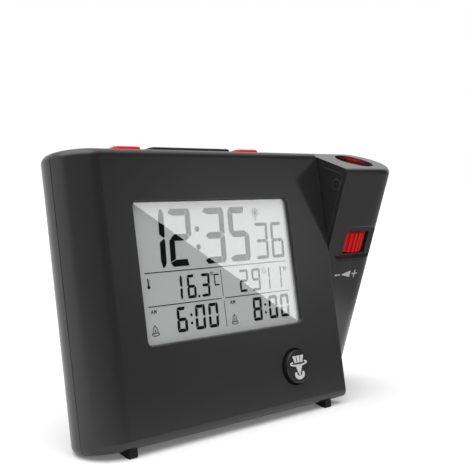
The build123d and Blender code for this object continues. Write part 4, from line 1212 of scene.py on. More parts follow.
class Layout:
    """The clock's driving sizes and the surfaces that follow from them and from its joints."""

    body_depth = 23.6 * MM
    panel_height = 93.6 * MM
    pivot_height = 58.9 * MM
    window_depth = 1.25 * MM
    glass_depth = 2.1 * MM
    key_rise = 1.7 * MM
    top_key_middle = 11.5 * MM
    arm_gap = 0.6 * MM
    display_middle = (-54.0 * MM, 53.2 * MM)

    def __init__(self, joints: list[dict]) -> None:
        """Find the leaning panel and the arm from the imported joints.

        Args:
            joints: The frame's joints.
        """
        by_name = {joint["name"]: joint for joint in joints}
        half = self.body_depth / 2
        pivot = Vector(by_name["arm_tilt"]["pos_m"])
        normal = -Vector(by_name["front_button_press"]["axis"])
        up = normal.cross(RIGHT)
        corner = pivot + half * normal - self.pivot_height * up
        self.panel = Surface.facing(corner, normal, RIGHT)
        self.display = self.panel.raised(-self.glass_depth).shifted(*self.display_middle)
        self.window = self.panel.raised(-self.window_depth).shifted(*self.display_middle)
        self.button = self.panel.raised(self.key_rise)
        self.rear = Surface.facing(corner - self.body_depth * normal, -normal, -RIGHT)
        key_tops = corner + (self.panel_height + self.key_rise) * up - self.top_key_middle * normal
        self.key_tops = Surface.facing(key_tops, up, RIGHT)
        along = Vector(by_name["barrel_slide"]["axis"])
        arm_normal = RIGHT.cross(along)
        self.arm_front = Surface.facing(pivot + half * arm_normal, arm_normal, RIGHT)
        self.arm_side = Surface.facing(pivot + self.arm_gap * RIGHT, -RIGHT, arm_normal)


@dataclass
class Workshop:
    """What every sub-assembly needs: the surfaces, the finishes and the inks."""

    layout: Layout
    finishes: dict[Slot, bpy.types.Material]
    inks: dict[Ink, bpy.types.Material]

    def fit(
        self,
        name: str,
        parts: list[bpy.types.Object],
        surface: Surface,
        finish: Ink | Slot,
        body: Body,
    ) -> None:
        """Join parts into a piece, set it on its surface, dress it and fix it to its body.

        Args:
            name: The piece's name.
            parts: Its parts, modelled in millimetres on the surface's own plane.
            surface: Where it lies.
            finish: Its ink, or the finish of a slot.
            body: What it moves with.
        """
        piece = joined(parts)
        piece.name = piece.data.name = name
        piece.data.transform(surface.matrix @ Matrix.Diagonal((MM, MM, MM, 1.0)))
        material = self.inks[finish] if isinstance(finish, Ink) else self.finishes[finish]
        piece.data.materials.clear()
        piece.data.materials.append(material)
        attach(piece, body.value)
        LOG.info("%s: %d parts, %d faces", name, len(parts), len(piece.data.polygons))


# ---------------------------------------------------------------------------------------------- signs
@dataclass(frozen=True)
class Signs:
    """Flat signs modelled in millimetres on a surface."""

    rise: float = 0.05
    line: float = 0.4

    def path(self, points: Iterable[Point], width: float | None = None) -> list[bpy.types.Object]:
        """Model strokes from point to point, as wide as the usual line where no width is given."""
        return strokes(list(points), width or self.line, self.rise)

    def dot(self, x: float, y: float, radius: float) -> bpy.types.Object:
        """Model a round spot."""
        return spot((x, y), (radius, radius), self.rise)

    def ring(self, x: float, y: float, radius: float, opening: Point = CLOSED) -> bpy.types.Object:
        """Model a ring as wide as the usual line, open between two angles."""
        share = 1 - self.line / radius
        return band((x, y), (radius, radius), (share, share), self.rise, opening=opening)


# ---------------------------------------------------------------------------------------------- the display
class Bar(Enum):
    """The seven bars of a figure."""

    TOP = "top"
    UPPER_RIGHT = "upper right"
    LOWER_RIGHT = "lower right"
    BOTTOM = "bottom"
    LOWER_LEFT = "lower left"
    UPPER_LEFT = "upper left"
    MIDDLE = "middle"


MIRRORED = {Bar.BOTTOM: Bar.TOP, Bar.LOWER_RIGHT: Bar.UPPER_RIGHT, Bar.LOWER_LEFT: Bar.UPPER_LEFT}
RIGHT_SIDE = (Bar.UPPER_RIGHT, Bar.LOWER_RIGHT)
LIT = {
    0: (Bar.TOP, *RIGHT_SIDE, Bar.BOTTOM, Bar.LOWER_LEFT, Bar.UPPER_LEFT),
    1: RIGHT_SIDE,
    2: (Bar.TOP, Bar.UPPER_RIGHT, Bar.MIDDLE, Bar.LOWER_LEFT, Bar.BOTTOM),
    3: (Bar.TOP, *RIGHT_SIDE, Bar.MIDDLE, Bar.BOTTOM),
    5: (Bar.TOP, Bar.UPPER_LEFT, Bar.MIDDLE, Bar.LOWER_RIGHT, Bar.BOTTOM),
    6: (Bar.TOP, Bar.UPPER_LEFT, Bar.MIDDLE, Bar.LOWER_LEFT, Bar.LOWER_RIGHT, Bar.BOTTOM),
    8: tuple(Bar),
    9: (Bar.TOP, Bar.UPPER_LEFT, *RIGHT_SIDE, Bar.MIDDLE, Bar.BOTTOM),
}
LETTERS = {
    "A": (((0, 0), (0.5, 1), (1, 0)), ((0.2, 0.35), (0.8, 0.35))),
    "C": (((1, 1), (0, 1), (0, 0.57)), ((0, 0.43), (0, 0), (1, 0))),
    "D": (((0, 0), (0, 1), (0.6, 1), (1, 0.65), (1, 0.35), (0.6, 0), (0, 0)),),
    "M": (((0, 0), (0, 1), (0.5, 0.35), (1, 1), (1, 0)),),
}
DISPLAY_RISE = 0.045


@dataclass(frozen=True)
class FigureRow:
    """Seven-bar figures of one size on one line of the display, in millimetres from the display's middle."""

    name: str
    middle: float
    height: float
    width: float
    thickness: float
    figures: tuple[tuple[int, float], ...]
    dots: tuple[tuple[float, float, float], ...] = ()
    slant: float = 3.2
    split_middle: bool = False
    dash_shift: float = 0.2
    dash_length: float = 0.44
    gap: float = 0.1
    rise: float = DISPLAY_RISE

    def outline(self, bar: Bar) -> list[Point]:
        """Return the corners of a bar, from the figure's own middle.

        The top and bottom bars hold the left corners, and the right side's bars hold the right ones.

        Args:
            bar: Which of the seven bars.

        Returns:
            The corners in order.
        """
        side, end, thick, gap = self.width / 2, self.height / 2, self.thickness, self.gap
        inner = side - thick
        if bar is Bar.MIDDLE:
            half, tip = thick / 2, side - 0.35 * thick
            return [(-inner, half), (inner, half), (tip, 0), (inner, -half), (-inner, -half), (-tip, 0)]
        if bar in MIRRORED:
            return [(x, -y) for x, y in self.outline(MIRRORED[bar])]
        if bar is Bar.TOP:
            right = side - gap
            left_end = [(-side, end - 0.6 * thick), (0.5 * thick - side, end)]
            right_end = [(right - 0.72 * thick, end), (right - thick, end - thick)]
            return left_end + right_end + [(-inner, end - thick)]
        if bar is Bar.UPPER_RIGHT:
            crown = [(inner, end - 1.1 * thick), (side - 0.7 * thick, end), (side - 0.35 * thick, end)]
            foot = [(side, 0.3 * thick + gap), (side - 0.2 * thick, gap), (inner, 0.55 * thick + gap)]
            return crown + [(side, end - 0.65 * thick)] + foot
        crown = [(-side, end - 0.65 * thick - gap), (-inner, end - 1.05 * thick - gap)]
        foot = [(-inner, 0.5 * thick + gap), (0.45 * thick - side, gap), (-side, 0.35 * thick + gap)]
        return crown + foot

    def pattern(self, bar: Bar) -> bpy.types.Object:
        """Model one bar, upright and in its place round the figure's middle.

        Args:
            bar: Which of the seven bars.

        Returns:
            The bar that copies are taken from.
        """
        part = raised_outline(self.outline(bar), self.rise)
        if bar is Bar.MIDDLE and self.split_middle:
            dashes = [self.dash(part, side) for side in (-1, 1)]
            discard([part])
            return joined(dashes)
        return part

    def dash(self, part: bpy.types.Object, side: int) -> bpy.types.Object:
        """Model one of the two dashes that stand in the middle bar's place, left at -1 and right at 1."""
        shift = Matrix.Translation((side * self.dash_shift * self.width, 0, 0))
        return copy_of(part, shift @ Matrix.Diagonal((self.dash_length, 1, 1, 1)))

    def build(self, shop: Workshop) -> None:
        """Model the row and fit it on the display glass.

        Args:
            shop: The surfaces and finishes.
        """
        lit = {bar for digit, _ in self.figures for bar in LIT[digit]}
        patterns = {bar: self.pattern(bar) for bar in Bar if bar in lit}
        lean = Matrix.Identity(4)
        lean[0][1] = math.tan(math.radians(self.slant))
        parts = []
        for digit, x in self.figures:
            place = Matrix.Translation((x, self.middle, 0)) @ lean
            parts += [copy_of(patterns[bar], place) for bar in LIT[digit]]
        parts += [spot((x, y), (radius, radius), self.rise) for x, y, radius in self.dots]
        discard(patterns.values())
        shop.fit(self.name, parts, shop.layout.display, Ink.FIGURE, Body.BASE)


FIGURE_ROWS = (
    FigureRow(
        "hours_and_minutes", 10.9, 19.1, 9.5, 2.25,
        ((1, -27.25), (2, -16.0), (3, -0.95), (5, 10.55)), ((-8.4, 13.35, 0.95), (-8.65, 7.3, 0.95)),
    ),
    FigureRow("seconds", 7.95, 13.0, 6.2, 1.15, ((3, 21.2), (6, 29.1)), split_middle=True),
    FigureRow(
        "temperature", -5.6, 7.8, 3.8, 0.95,
        ((1, -19.5), (6, -13.65), (3, -7.55)), ((-10.86, -9.1, 0.45),),
    ),
    FigureRow("day", -5.6, 7.8, 4.1, 0.85, ((2, 10.15), (9, 16.1))),
    FigureRow("month", -5.6, 7.8, 4.1, 0.6, ((1, 20.9), (1, 26.8))),
    FigureRow(
        "alarm_one_time", -16.0, 8.2, 4.35, 1.1,
        ((6, -19.2), (0, -11.4), (0, -5.6)), ((-15.2, -14.9, 0.5), (-15.3, -17.6, 0.5)),
    ),
    FigureRow(
        "alarm_two_time", -16.0, 8.2, 4.35, 1.1,
        ((8, 15.1), (0, 22.85), (0, 28.75)), ((19.05, -14.85, 0.5), (18.95, -17.65, 0.5)),
    ),
)


@dataclass(frozen=True)
class AlarmBell(Signs):
    """An alarm bell in outline, with heights from its foot."""

    rise: float = DISPLAY_RISE
    line: float = 0.24
    side: tuple[Point, ...] = ((1.3, 0.8), (0.95, 1.3), (0.85, 2.2), (0.6, 2.8), (0.0, 3.1))
    brim: Point = (1.55, 0.6)
    brim_hole: Point = (0.83, 0.55)
    brim_height: float = 0.6
    knob: float = 0.24
    knob_height: float = 3.35
    bar: Point = (1.35, 2.3)
    mark: float = 0.11
    mark_place: Point = (0.45, 1.7)

    def parts(self, x: float, foot: float) -> list[bpy.types.Object]:
        """Model the bell.

        Args:
            x: Its middle across the display.
            foot: Its foot.

        Returns:
            The bell's parts.
        """
        other = [(-across, up) for across, up in self.side[-2::-1]]
        parts = self.path([(x + across, foot + up) for across, up in (*self.side, *other)])
        parts.append(band((x, foot + self.brim_height), self.brim, self.brim_hole, self.rise))
        parts.append(self.dot(x, foot + self.knob_height, self.knob))
        parts += self.path([(x, foot + up) for up in self.bar])
        across, up = self.mark_place
        return parts + [self.dot(x + across * side, foot + up, self.mark) for side in (-1, 1)]


@dataclass(frozen=True)
class Thermometer(Signs):
    """A small thermometer with marks on its right, measured from its bulb's middle."""

    rise: float = DISPLAY_RISE
    line: float = 0.16
    bulb: float = 0.62
    tube: tuple[Point, ...] = ((-0.05, 0.5), (-0.15, 2.6))
    tube_width: float = 0.48
    marks: int = 4
    first_mark: float = 0.95
    mark_pitch: float = 0.45
    mark_ends: Point = (0.25, 0.6)

    def parts(self, x: float, y: float) -> list[bpy.types.Object]:
        """Model the thermometer.

        Args:
            x: Its bulb's middle across the display.
            y: Its bulb's middle up the display.

        Returns:
            The thermometer's parts.
        """
        parts = [self.dot(x, y, self.bulb)]
        parts += self.path([(x + across, y + up) for across, up in self.tube], self.tube_width)
        for number in range(self.marks):
            height = y + self.first_mark + self.mark_pitch * number
            parts += self.path([(x + end, height) for end in self.mark_ends])
        return parts


@dataclass(frozen=True)
class RadioMast(Signs):
    """A mast that sends: an oval wave round a core on a short pole."""

    rise: float = DISPLAY_RISE
    wave: Point = (1.45, 1.5)
    wave_hole: Point = (0.76, 0.78)
    wave_opening: Point = (240.0, 300.0)
    core: Point = (0.65, 0.75)
    pole: tuple[Point, ...] = ((0.0, -0.6), (-0.1, -2.6))

    def parts(self, x: float, y: float) -> list[bpy.types.Object]:
        """Model the mast.

        Args:
            x: The oval's middle across the display.
            y: The oval's middle up the display.

        Returns:
            The mast's parts.
        """
        parts = [band((x, y), self.wave, self.wave_hole, self.rise, opening=self.wave_opening)]
        parts.append(spot((x, y), self.core, self.rise))
        return parts + self.path([(x + across, y + up) for across, up in self.pole])


@dataclass(frozen=True)
class DisplaySigns(Signs):
    """Ruled lines and small signs of the display, in millimetres from the display's middle."""

    rise: float = DISPLAY_RISE
    line: float = 0.3
    upper_rule: Point = (-32.3, 31.8)
    lower_rules: tuple[Point, ...] = ((-32.3, -1.1), (0.6, 31.8))
    lower_height: float = -10.75
    fine: float = 0.24
    split: float = -0.2
    split_ends: tuple[Point, ...] = ((-9.95, -1.1), (-20.4, -11.55))
    letter: float = 0.26
    letter_width: float = 0.72
    letter_pitch: float = 1.25
    mornings: tuple[Point, ...] = ((-31.45, -12.95), (2.7, -12.98))
    morning_height: float = 1.05
    day: Point = (19.85, -3.6)
    day_height: float = 1.7
    month: Point = (30.4, -3.55)
    month_height: float = 1.6
    celsius: Point = (-3.3, -6.0)
    celsius_height: float = 3.5
    celsius_width: float = 0.52
    degree: Point = (-4.4, -2.0)
    degree_radius: float = 0.6
    degree_hole: float = 0.58
    mast: Point = (19.4, 18.2)
    thermometer: Point = (-31.25, -4.5)
    bell_one: Point = (-30.6, -20.2)
    bell_two: Point = (3.7, -20.2)

    def rules(self) -> list[bpy.types.Object]:
        """Model the lines that part the display's fields.

        Returns:
            The strokes.
        """
        parts = self.path([(x, 0) for x in self.upper_rule])
        for ends in self.lower_rules:
            parts += self.path([(x, self.lower_height) for x in ends])
        for ends in self.split_ends:
            parts += self.path([(self.split, y) for y in ends], self.fine)
        return parts

    def letters(
        self, word: str, place: Point, height: float, width: float, line: float
    ) -> list[bpy.types.Object]:
        """Model small letters from strokes.

        Args:
            word: The letters, each of them one of A, C, D and M.
            place: Lower left corner of the first letter.
            height: Their height.
            width: Their width as a share of their height.
            line: Width of their strokes.

        Returns:
            The strokes.
        """
        parts = []
        for number, letter in enumerate(word):
            left = place[0] + number * self.letter_pitch
            for points in LETTERS[letter]:
                shape = [(left + across * width * height, place[1] + up * height) for across, up in points]
                parts += self.path(shape, line)
        return parts

    def words(self) -> list[bpy.types.Object]:
        """Model the letters of the alarms, the day and the month.

        Returns:
            The strokes.
        """
        words = [("AM", place, self.morning_height) for place in self.mornings]
        words += [("D", self.day, self.day_height), ("M", self.month, self.month_height)]
        return [part for word in words for part in self.letters(*word, self.letter_width, self.letter)]

    def build(self, shop: Workshop) -> None:
        """Model the signs and fit them on the display glass.

        Args:
            shop: The surfaces and finishes.
        """
        size, hole = (self.degree_radius, self.degree_radius), (self.degree_hole, self.degree_hole)
        degree = [band(self.degree, size, hole, self.rise)]
        degree += self.letters("C", self.celsius, self.celsius_height, self.celsius_width, 2 * self.letter)
        words = self.words()
        signs = {
            "display_rules": (self.rules(), Ink.SIGN),
            "radio_mast_sign": (RadioMast().parts(*self.mast), Ink.SIGN),
            "thermometer_sign": (Thermometer().parts(*self.thermometer), Ink.SIGN),
            "degree_sign": (degree, Ink.FIGURE),
            "display_letters": (words, Ink.SIGN),
            "alarm_one_bell": (AlarmBell().parts(*self.bell_one), Ink.SIGN),
            "alarm_two_bell": (AlarmBell().parts(*self.bell_two), Ink.SIGN),
        }
        for name, (parts, ink) in signs.items():
            shop.fit(name, parts, shop.layout.display, ink, Body.BASE)


# ---------------------------------------------------------------------------------------------- prints
@dataclass(frozen=True)
class ButtonSign(Signs):
    """Projection sign on the front button: rays out of a ring over a beam and its lamp, in millimetres."""

    middle: Point = (-25.4, 14.9)
    ring_lift: float = 1.2
    ring_radii: Point = (4.4, 1.1)
    ring_hole: Point = (0.82, 0.4)
    ring_opening: Point = (48.0, 132.0)
    ray_lift: float = 1.4
    ray_height: float = 2.5
    ray_foot: Point = (1.45, 1.05)
    ray_head: Point = (2.0, 1.62)
    beam_drop: float = 3.1
    beam_height: float = 3.15
    beam_widths: Point = (0.5, 3.1)
    cup_drop: float = 2.75
    cup_radii: Point = (2.5, 1.85)
    cup_hole: Point = (0.55, 0.5)
    cup_hole_lift: float = 0.4
    cup_opening: Point = (36.0, 144.0)
    # painted shadow ring round the button: its outer radius and its width
    gap_shadow: float = 6.65
    surround_width: float = 0.6

    def build(self, shop: Workshop) -> None:
        """Model the sign on the button's face and a black ring in the panel round it, a painted shadow of the
        gap round the button.

        Args:
            shop: The surfaces and finishes.
        """
        x, y = self.middle
        parts = []
        for side in (-1, 0, 1):
            foot, head = [(place * side, width) for place, width in (self.ray_foot, self.ray_head)]
            parts.append(wedge(foot, head, (x, y + self.ray_lift), self.ray_height, self.rise))
        ring_middle, cup_middle = (x, y + self.ring_lift), (x, y - self.cup_drop)
        parts.append(band(ring_middle, self.ring_radii, self.ring_hole, self.rise, opening=self.ring_opening))
        tip, mouth = [(0, width) for width in self.beam_widths]
        parts.append(wedge(tip, mouth, (x, y - self.beam_drop), self.beam_height, self.rise))
        parts.append(
            band(cup_middle, self.cup_radii, self.cup_hole, self.rise, self.cup_hole_lift, self.cup_opening)
        )
        shop.fit("button_sign", parts, shop.layout.button, Ink.WHITE, Body.FRONT_BUTTON)
        # painted shadow: a black ring on the panel where the gap round the button lies in shade
        share = 1 - self.surround_width / self.gap_shadow
        gap_shadow = [band(self.middle, (self.gap_shadow, self.gap_shadow), (share, share), self.rise)]
        shop.fit("button_surround", gap_shadow, shop.layout.panel, Ink.BLACK, Body.BASE)


@dataclass(frozen=True)
class FocusMark(Signs):
    """Focusing mark below the ring: a growing wedge between a minus and a plus, in millimetres."""

    line: float = 0.6
    left: float = 8.2
    right: float = 21.2
    middle: float = -8.6
    half: float = 1.35
    wedge_widths: Point = (0.405, 2.7)

    def build(self, shop: Workshop) -> None:
        """Model the mark and fit it on the arm's front.

        Args:
            shop: The surfaces and finishes.
        """
        left, right, middle, half = self.left, self.right, self.middle, self.half
        cross = right - half
        parts = self.path([(left, middle), (left + 2 * half, middle)])
        parts += self.path([(cross - half, middle), (right, middle)])
        parts += self.path([(cross, middle - half), (cross, middle + half)])
        length = right - left - 6 * half
        start, end = [(0, width) for width in self.wedge_widths]
        growing = wedge(start, end, (0, -length / 2), length, self.rise)
        growing.data.transform(flat_place((left + right) / 2, middle, -math.pi / 2))
        shop.fit("focus_mark", [*parts, growing], shop.layout.arm_front, Ink.WHITE, Body.ARM)


@dataclass(frozen=True)
class TopKeySigns(Signs):
    """Signs on the keys of the top edge: bells with their numbers, and a falling row of Z, in millimetres."""

    rise: float = 0.04
    line: float = 0.45
    alarm_one_x: float = -84.0
    alarm_two_x: float = -30.2
    bell_shift: float = -1.8
    bell_foot: float = -1.3
    bell_height: float = 2.0
    bell_widths: Point = (3.0, 1.9)
    dome: float = 0.95
    dome_height: float = 0.7
    brim: float = 1.9
    brim_height: float = -1.5
    clapper: Point = (0.5, 0.45)
    clapper_height: float = -2.2
    numeral_shift: float = 2.4
    numeral_pitch: float = 1.1
    numeral_half: float = 1.3
    snooze_x: float = -56.8
    snooze_foot: float = -1.1
    snooze_sizes: tuple[float, ...] = (2.4, 1.8, 1.2)
    snooze_shifts: tuple[float, ...] = (-4.4, -0.6, 2.6)

    def bell(self, x: float) -> list[bpy.types.Object]:
        """Model a filled bell.

        Args:
            x: Its middle.

        Returns:
            The bell's parts.
        """
        foot, crown = [(0, width) for width in self.bell_widths]
        body = wedge(foot, crown, (x, self.bell_foot), self.bell_height, self.rise)
        dome = self.dot(x, self.dome_height, self.dome)
        brim = self.path([(x - self.brim, self.brim_height), (x + self.brim, self.brim_height)])
        return [body, dome, *brim, spot((x, self.clapper_height), self.clapper, self.rise)]

    def numeral(self, x: float, count: int) -> list[bpy.types.Object]:
        """Model as many short bars as the alarm's number.

        Args:
            x: Their middle.
            count: The number.

        Returns:
            The bars.
        """
        first, half = x - (count - 1) * self.numeral_pitch / 2, self.numeral_half
        places = [first + number * self.numeral_pitch for number in range(count)]
        return [bar for place in places for bar in self.path([(place, -half), (place, half)])]

    def build(self, shop: Workshop) -> None:
        """Model the signs and fit them on their keys.

        Args:
            shop: The surfaces and finishes.
        """
        tops = shop.layout.key_tops
        alarms = ((1, self.alarm_one_x, Body.ALARM_ONE), (2, self.alarm_two_x, Body.ALARM_TWO))
        for number, x, body in alarms:
            parts = self.bell(x + self.bell_shift) + self.numeral(x + self.numeral_shift, number)
            shop.fit(f"alarm_{number}_key_sign", parts, tops, Ink.WHITE, body)
        parts, foot = [], self.snooze_foot
        for size, shift in zip(self.snooze_sizes, self.snooze_shifts):
            left = self.snooze_x + shift
            right, top = left + size, foot + size
            parts += self.path([(left, top), (right, top), (left, foot), (right, foot)])
        shop.fit("snooze_key_sign", parts, tops, Ink.WHITE, Body.SNOOZE)


@dataclass(frozen=True)
class RearSigns(Signs):
    """Signs on the rear beside the keys, the slide switch and the inlet, in millimetres.

    Places count from the body's right side, and lie mirrored as one looks at the rear.
    """

    keys: tuple[float, ...] = (90.0, 77.0, 64.0, 51.0)
    height: float = 69.8
    clock_radius: float = 1.5
    hands: tuple[Point, ...] = ((0.0, 0.9), (0.0, 0.0), (0.7, 0.0))
    arm: float = 1.2
    waves: Point = (1.0, 1.8)
    wave_opening: Point = (200.0, 340.0)
    mast: Point = (-1.6, 0.2)
    switch: Point = (25.0, 31.0)
    switch_size: float = 1.1
    jack: Point = (12.0, 25.4)
    jack_radius: float = 1.3
    jack_opening: Point = (330.0, 390.0)
    jack_core: float = 0.45
    jack_reach: float = 3.0

    def flat(self, y: float, *ends: float) -> list[bpy.types.Object]:
        """Model a level line between two ends."""
        return self.path([(end, y) for end in ends])

    def upright(self, x: float, *ends: float) -> list[bpy.types.Object]:
        """Model an upright line between two ends."""
        return self.path([(x, end) for end in ends])

    def build(self, shop: Workshop) -> None:
        """Model the signs and fit them on the rear.

        Args:
            shop: The surfaces and finishes.
        """
        (clock, plus, minus, signal), (off, on), (x, low) = self.keys, self.switch, self.jack
        y, arm, size = self.height, self.arm, self.switch_size
        hands = [(clock + across, y + up) for across, up in self.hands]
        waves = [self.ring(signal, y, radius, self.wave_opening) for radius in self.waves]
        signs = {
            "clock_sign": [self.ring(clock, y, self.clock_radius), *self.path(hands)],
            "plus_sign": self.flat(y, plus - arm, plus + arm) + self.upright(plus, y - arm, y + arm),
            "minus_sign": self.flat(y, minus - arm, minus + arm),
            "signal_sign": self.upright(signal, y + self.mast[0], y + self.mast[1]) + waves,
            "off_sign": [self.ring(off, y, size)],
            "on_sign": self.upright(on, y - size, y + size),
            "polarity_sign": [
                self.ring(x, low, self.jack_radius, self.jack_opening),
                self.dot(x, low, self.jack_core),
                *self.flat(low, x + self.jack_core, x + self.jack_reach),
                *self.flat(low, x - self.jack_radius, x - self.jack_reach),
            ],
        }
        for name, parts in signs.items():
            shop.fit(name, parts, shop.layout.rear, Ink.GREY, Body.BASE)


# ---------------------------------------------------------------------------------------------- plugs
@dataclass(frozen=True)
class ScrewPlugs:
    """Plugs that close the screw holes of the arm's side cover, in millimetres on the arm's side."""

    radius: float = 1.97
    depth: float = 0.9
    rim: float = 0.12
    sides: int = 40
    places: tuple[Point, ...] = ((7.8, 27.5), (-7.8, 27.5), (0.0, -45.77))

    def build(self, shop: Workshop) -> None:
        """Model one plug and fit its copies in the holes.

        Args:
            shop: The surfaces and finishes.
        """
        blank = Blank.disc((self.radius, self.radius), self.sides, True)
        blank.pick_all()
        blank.extrude((0, 0, -self.depth))
        blank.pick(Pick.EDGES, lambda middle: middle.z > -self.depth / 10)
        blank.bevel(self.rim)
        plug = blank.done()
        plugs = [copy_of(plug, flat_place(x, y)) for x, y in self.places]
        discard([plug])
        shop.fit("arm_screw_plugs", plugs, shop.layout.arm_side, Slot.BODY, Body.ARM)


# ---------------------------------------------------------------------------------------------- casework
@dataclass
class Casework:
    """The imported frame's own pieces, dressed by their slots."""

    nodes: dict[str, bpy.types.Object]
    record: dict

    def dress(self, finishes: dict[Slot, bpy.types.Material]) -> None:
        """Give every node the material of its slot.

        Args:
            finishes: The materials by slot.
        """
        for row in self.record["subparts"]:
            node = self.nodes[row["node"]]
            material = finishes[Slot(row["material_slot"])]
            for slot in node.material_slots:
                slot.material = material
            LOG.info("%s: %s", node.name, material.name)


# ---------------------------------------------------------------------------------------------- the studio
@dataclass(frozen=True)
class Studio:
    """A pale floor in plain soft light, and the camera."""

    floor_size: float = 12.0
    floor_tone: float = 0.9
    floor_bounce: float = 0.4
    floor_glow: float = 0.13
    floor_roughness: float = 0.9
    sky: float = 0.4
    sun_place: tuple[float, float, float] = (-0.2, -0.1, 0.95)
    sun_power: float = 2.75
    sun_spread: float = 75.0
    camera_place: tuple[float, float, float] = (-0.21826, -0.24027, 0.08557)
    camera_azimuth: float = 42.813
    camera_pitch: float = 3.735
    camera_lens: float = 68.43
    camera_near: float = 0.01

    def pale(self, bench: NodeBench, plain: float, seen: float) -> bpy.types.NodeSocket:
        """Return a strength that is higher where the camera, gloss and glass see it.

        Args:
            bench: The node tree that gets the nodes.
            plain: Strength for all other rays.
            seen: Strength for the rays that see it.

        Returns:
            The strength.
        """
        path = bench.node("LightPath")
        share = path.outputs["Is Camera Ray"]
        for name in ("Is Glossy Ray", "Is Transmission Ray"):
            share = bench.math("MAXIMUM", share, path.outputs[name])
        return bench.spread(share, 0.0, 1.0, plain, seen)

    def build_floor(self) -> None:
        """Lay the floor, which the camera sees as white where no shadow falls."""
        Blank.clear()
        bpy.ops.mesh.primitive_plane_add(size=self.floor_size, location=(0, 0, 0))
        floor = bpy.context.object
        floor.name = "studio_floor"
        bench = MaterialBench("studio_floor")
        tone = self.pale(bench, self.floor_bounce, self.floor_tone)
        bench.dress(base_color=bench.mix(tone, BLACK, WHITE), roughness=self.floor_roughness)
        bench.dress(specular_ior_level=0.0)
        bench.dress(emission_color=WHITE, emission_strength=self.pale(bench, 0.0, self.floor_glow))
        floor.data.materials.append(bench.material)

    def build_sky(self) -> None:
        """Light the room evenly, with white where the camera, gloss and glass see it."""
        world = bpy.data.worlds.new("studio_sky")
        bpy.context.scene.world = world
        world.use_nodes = True
        world.node_tree.nodes.clear()
        bench = NodeBench(world.node_tree)
        background = bench.node("Background")
        bench.feed(background.inputs["Color"], WHITE)
        bench.feed(background.inputs["Strength"], self.pale(bench, self.sky, 1.0))
        output = bench.node("OutputWorld")
        bench.feed(output.inputs["Surface"], background.outputs[0])

    def build_sun(self) -> None:
        """Hang the broad soft light that makes the shadow."""
        light = bpy.data.lights.new("soft_light", "SUN")
        light.energy = self.sun_power
        light.angle = math.radians(self.sun_spread)
        lamp = bpy.data.objects.new("soft_light", light)
        lamp.location = self.sun_place
        lamp.rotation_euler = (-Vector(self.sun_place)).to_track_quat("-Z", "Y").to_euler()
        bpy.context.scene.collection.objects.link(lamp)

    def build_camera(self) -> None:
        """Set up the camera."""
        data = bpy.data.cameras.new("camera")
        data.lens = self.camera_lens
        data.clip_start = self.camera_near
        camera = bpy.data.objects.new("camera", data)
        camera.location = self.camera_place
        camera.rotation_euler = (math.radians(90 - self.camera_pitch), 0, math.radians(-self.camera_azimuth))
        bpy.context.scene.collection.objects.link(camera)
        bpy.context.scene.camera = camera

    def build(self) -> None:
        """Build the floor, the light and the camera."""
        self.build_floor()
        self.build_sky()
        self.build_sun()
        self.build_camera()
        bpy.context.scene.view_settings.view_transform = "Standard"


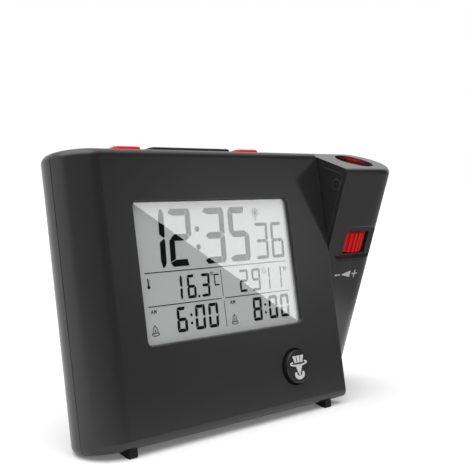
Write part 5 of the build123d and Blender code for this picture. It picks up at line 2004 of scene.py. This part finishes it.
@dataclass(frozen=True)
class ReflectionCards:
    """Cards that only reflections show: dark ones round the clock, a grey one low down, and a bright one.

    The window mirrors the bright card, which fills its upper right half as the camera sees it.
    """

    left: float = -36.2
    right: float = 36.0
    bottom: float = -23.6
    top: float = 23.9
    margin: float = 1.5
    bright_distance: float = 1.2
    bright_strength: float = 4.0
    dark_distance: float = 2.0
    dark_width: float = 4.5
    dark_height: float = 2.6
    dark_cards: tuple[Point, ...] = ((0.0, 0.02), (-80.0, 0.22))
    grey_near: float = 0.1
    grey_lift: float = 0.002
    grey_strength: float = 0.4

    def card(self, name: str, corners: list[Vector], strength: float) -> None:
        """Hang a card.

        Args:
            name: The card's name.
            corners: Its corners in order.
            strength: Its brightness.
        """
        Blank.clear()
        bpy.ops.mesh.primitive_circle_add(vertices=len(corners), fill_type="NGON")
        card = bpy.context.object
        card.name = name
        for corner, point in zip(card.data.vertices, corners):
            corner.co = point
        bench = MaterialBench(name)
        glow = bench.node("Emission")
        bench.feed(glow.inputs["Strength"], strength)
        bench.show(glow.outputs[0])
        card.data.materials.append(bench.material)
        card.visible_camera = card.visible_diffuse = card.visible_shadow = False

    def build(self, layout: Layout, camera: Vector) -> None:
        """Hang the bright card where the window mirrors it to the camera, and the others round the clock.

        Args:
            layout: The clock's surfaces.
            camera: The camera's place.
        """
        window = layout.window
        normal = (window.matrix.to_3x3() @ UP).normalized()
        height = (camera - window.point(0, 0)).dot(normal)
        mirrored = camera - 2 * height * normal
        reach = (height + self.bright_distance) / height
        beyond = (self.right + self.margin, self.top + self.margin)
        edges = [(self.left, self.top), (self.right, self.bottom), beyond]
        bright = [mirrored + reach * (window.point(x * MM, y * MM) - mirrored) for x, y in edges]
        self.card("bright_card", bright, self.bright_strength)
        ahead = window.point(0, 0) - mirrored
        ahead = Vector((ahead.x, ahead.y, 0)).normalized()
        for number, (degrees, strength) in enumerate(self.dark_cards):
            outward = Matrix.Rotation(math.radians(degrees), 3, "Z") @ ahead
            across = outward.cross(UP) * self.dark_width / 2
            foot, up = outward * self.dark_distance, UP * self.dark_height
            corners = [foot - across, foot + across, foot + across + up, foot - across + up]
            self.card(f"dark_card_{number}", corners, strength)
        across = ahead.cross(UP) * self.dark_width / 2
        near, far = ahead * self.grey_near, ahead * self.dark_distance
        corners = [near - across, near + across, far + across, far - across]
        self.card("grey_card", [corner + UP * self.grey_lift for corner in corners], self.grey_strength)


def main() -> None:
    """Load the frame, build and dress every piece, and set up the studio."""
    logging.basicConfig(level=logging.INFO, format="%(name)s: %(message)s")
    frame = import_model()
    effects = Effects()
    finishes = finish_book(effects)
    inks = {ink: ink.value.build(effects) for ink in Ink}
    shop = Workshop(Layout(frame["joints"]), finishes, inks)
    Casework(frame["nodes"], frame["record"]).dress(finishes)
    for row in FIGURE_ROWS:
        row.build(shop)
    for piece in (DisplaySigns(), ButtonSign(), FocusMark(), TopKeySigns(), RearSigns(), ScrewPlugs()):
        piece.build(shop)
    studio = Studio()
    studio.build()
    ReflectionCards().build(shop.layout, Vector(studio.camera_place))


if __name__ == "__main__":
    main()
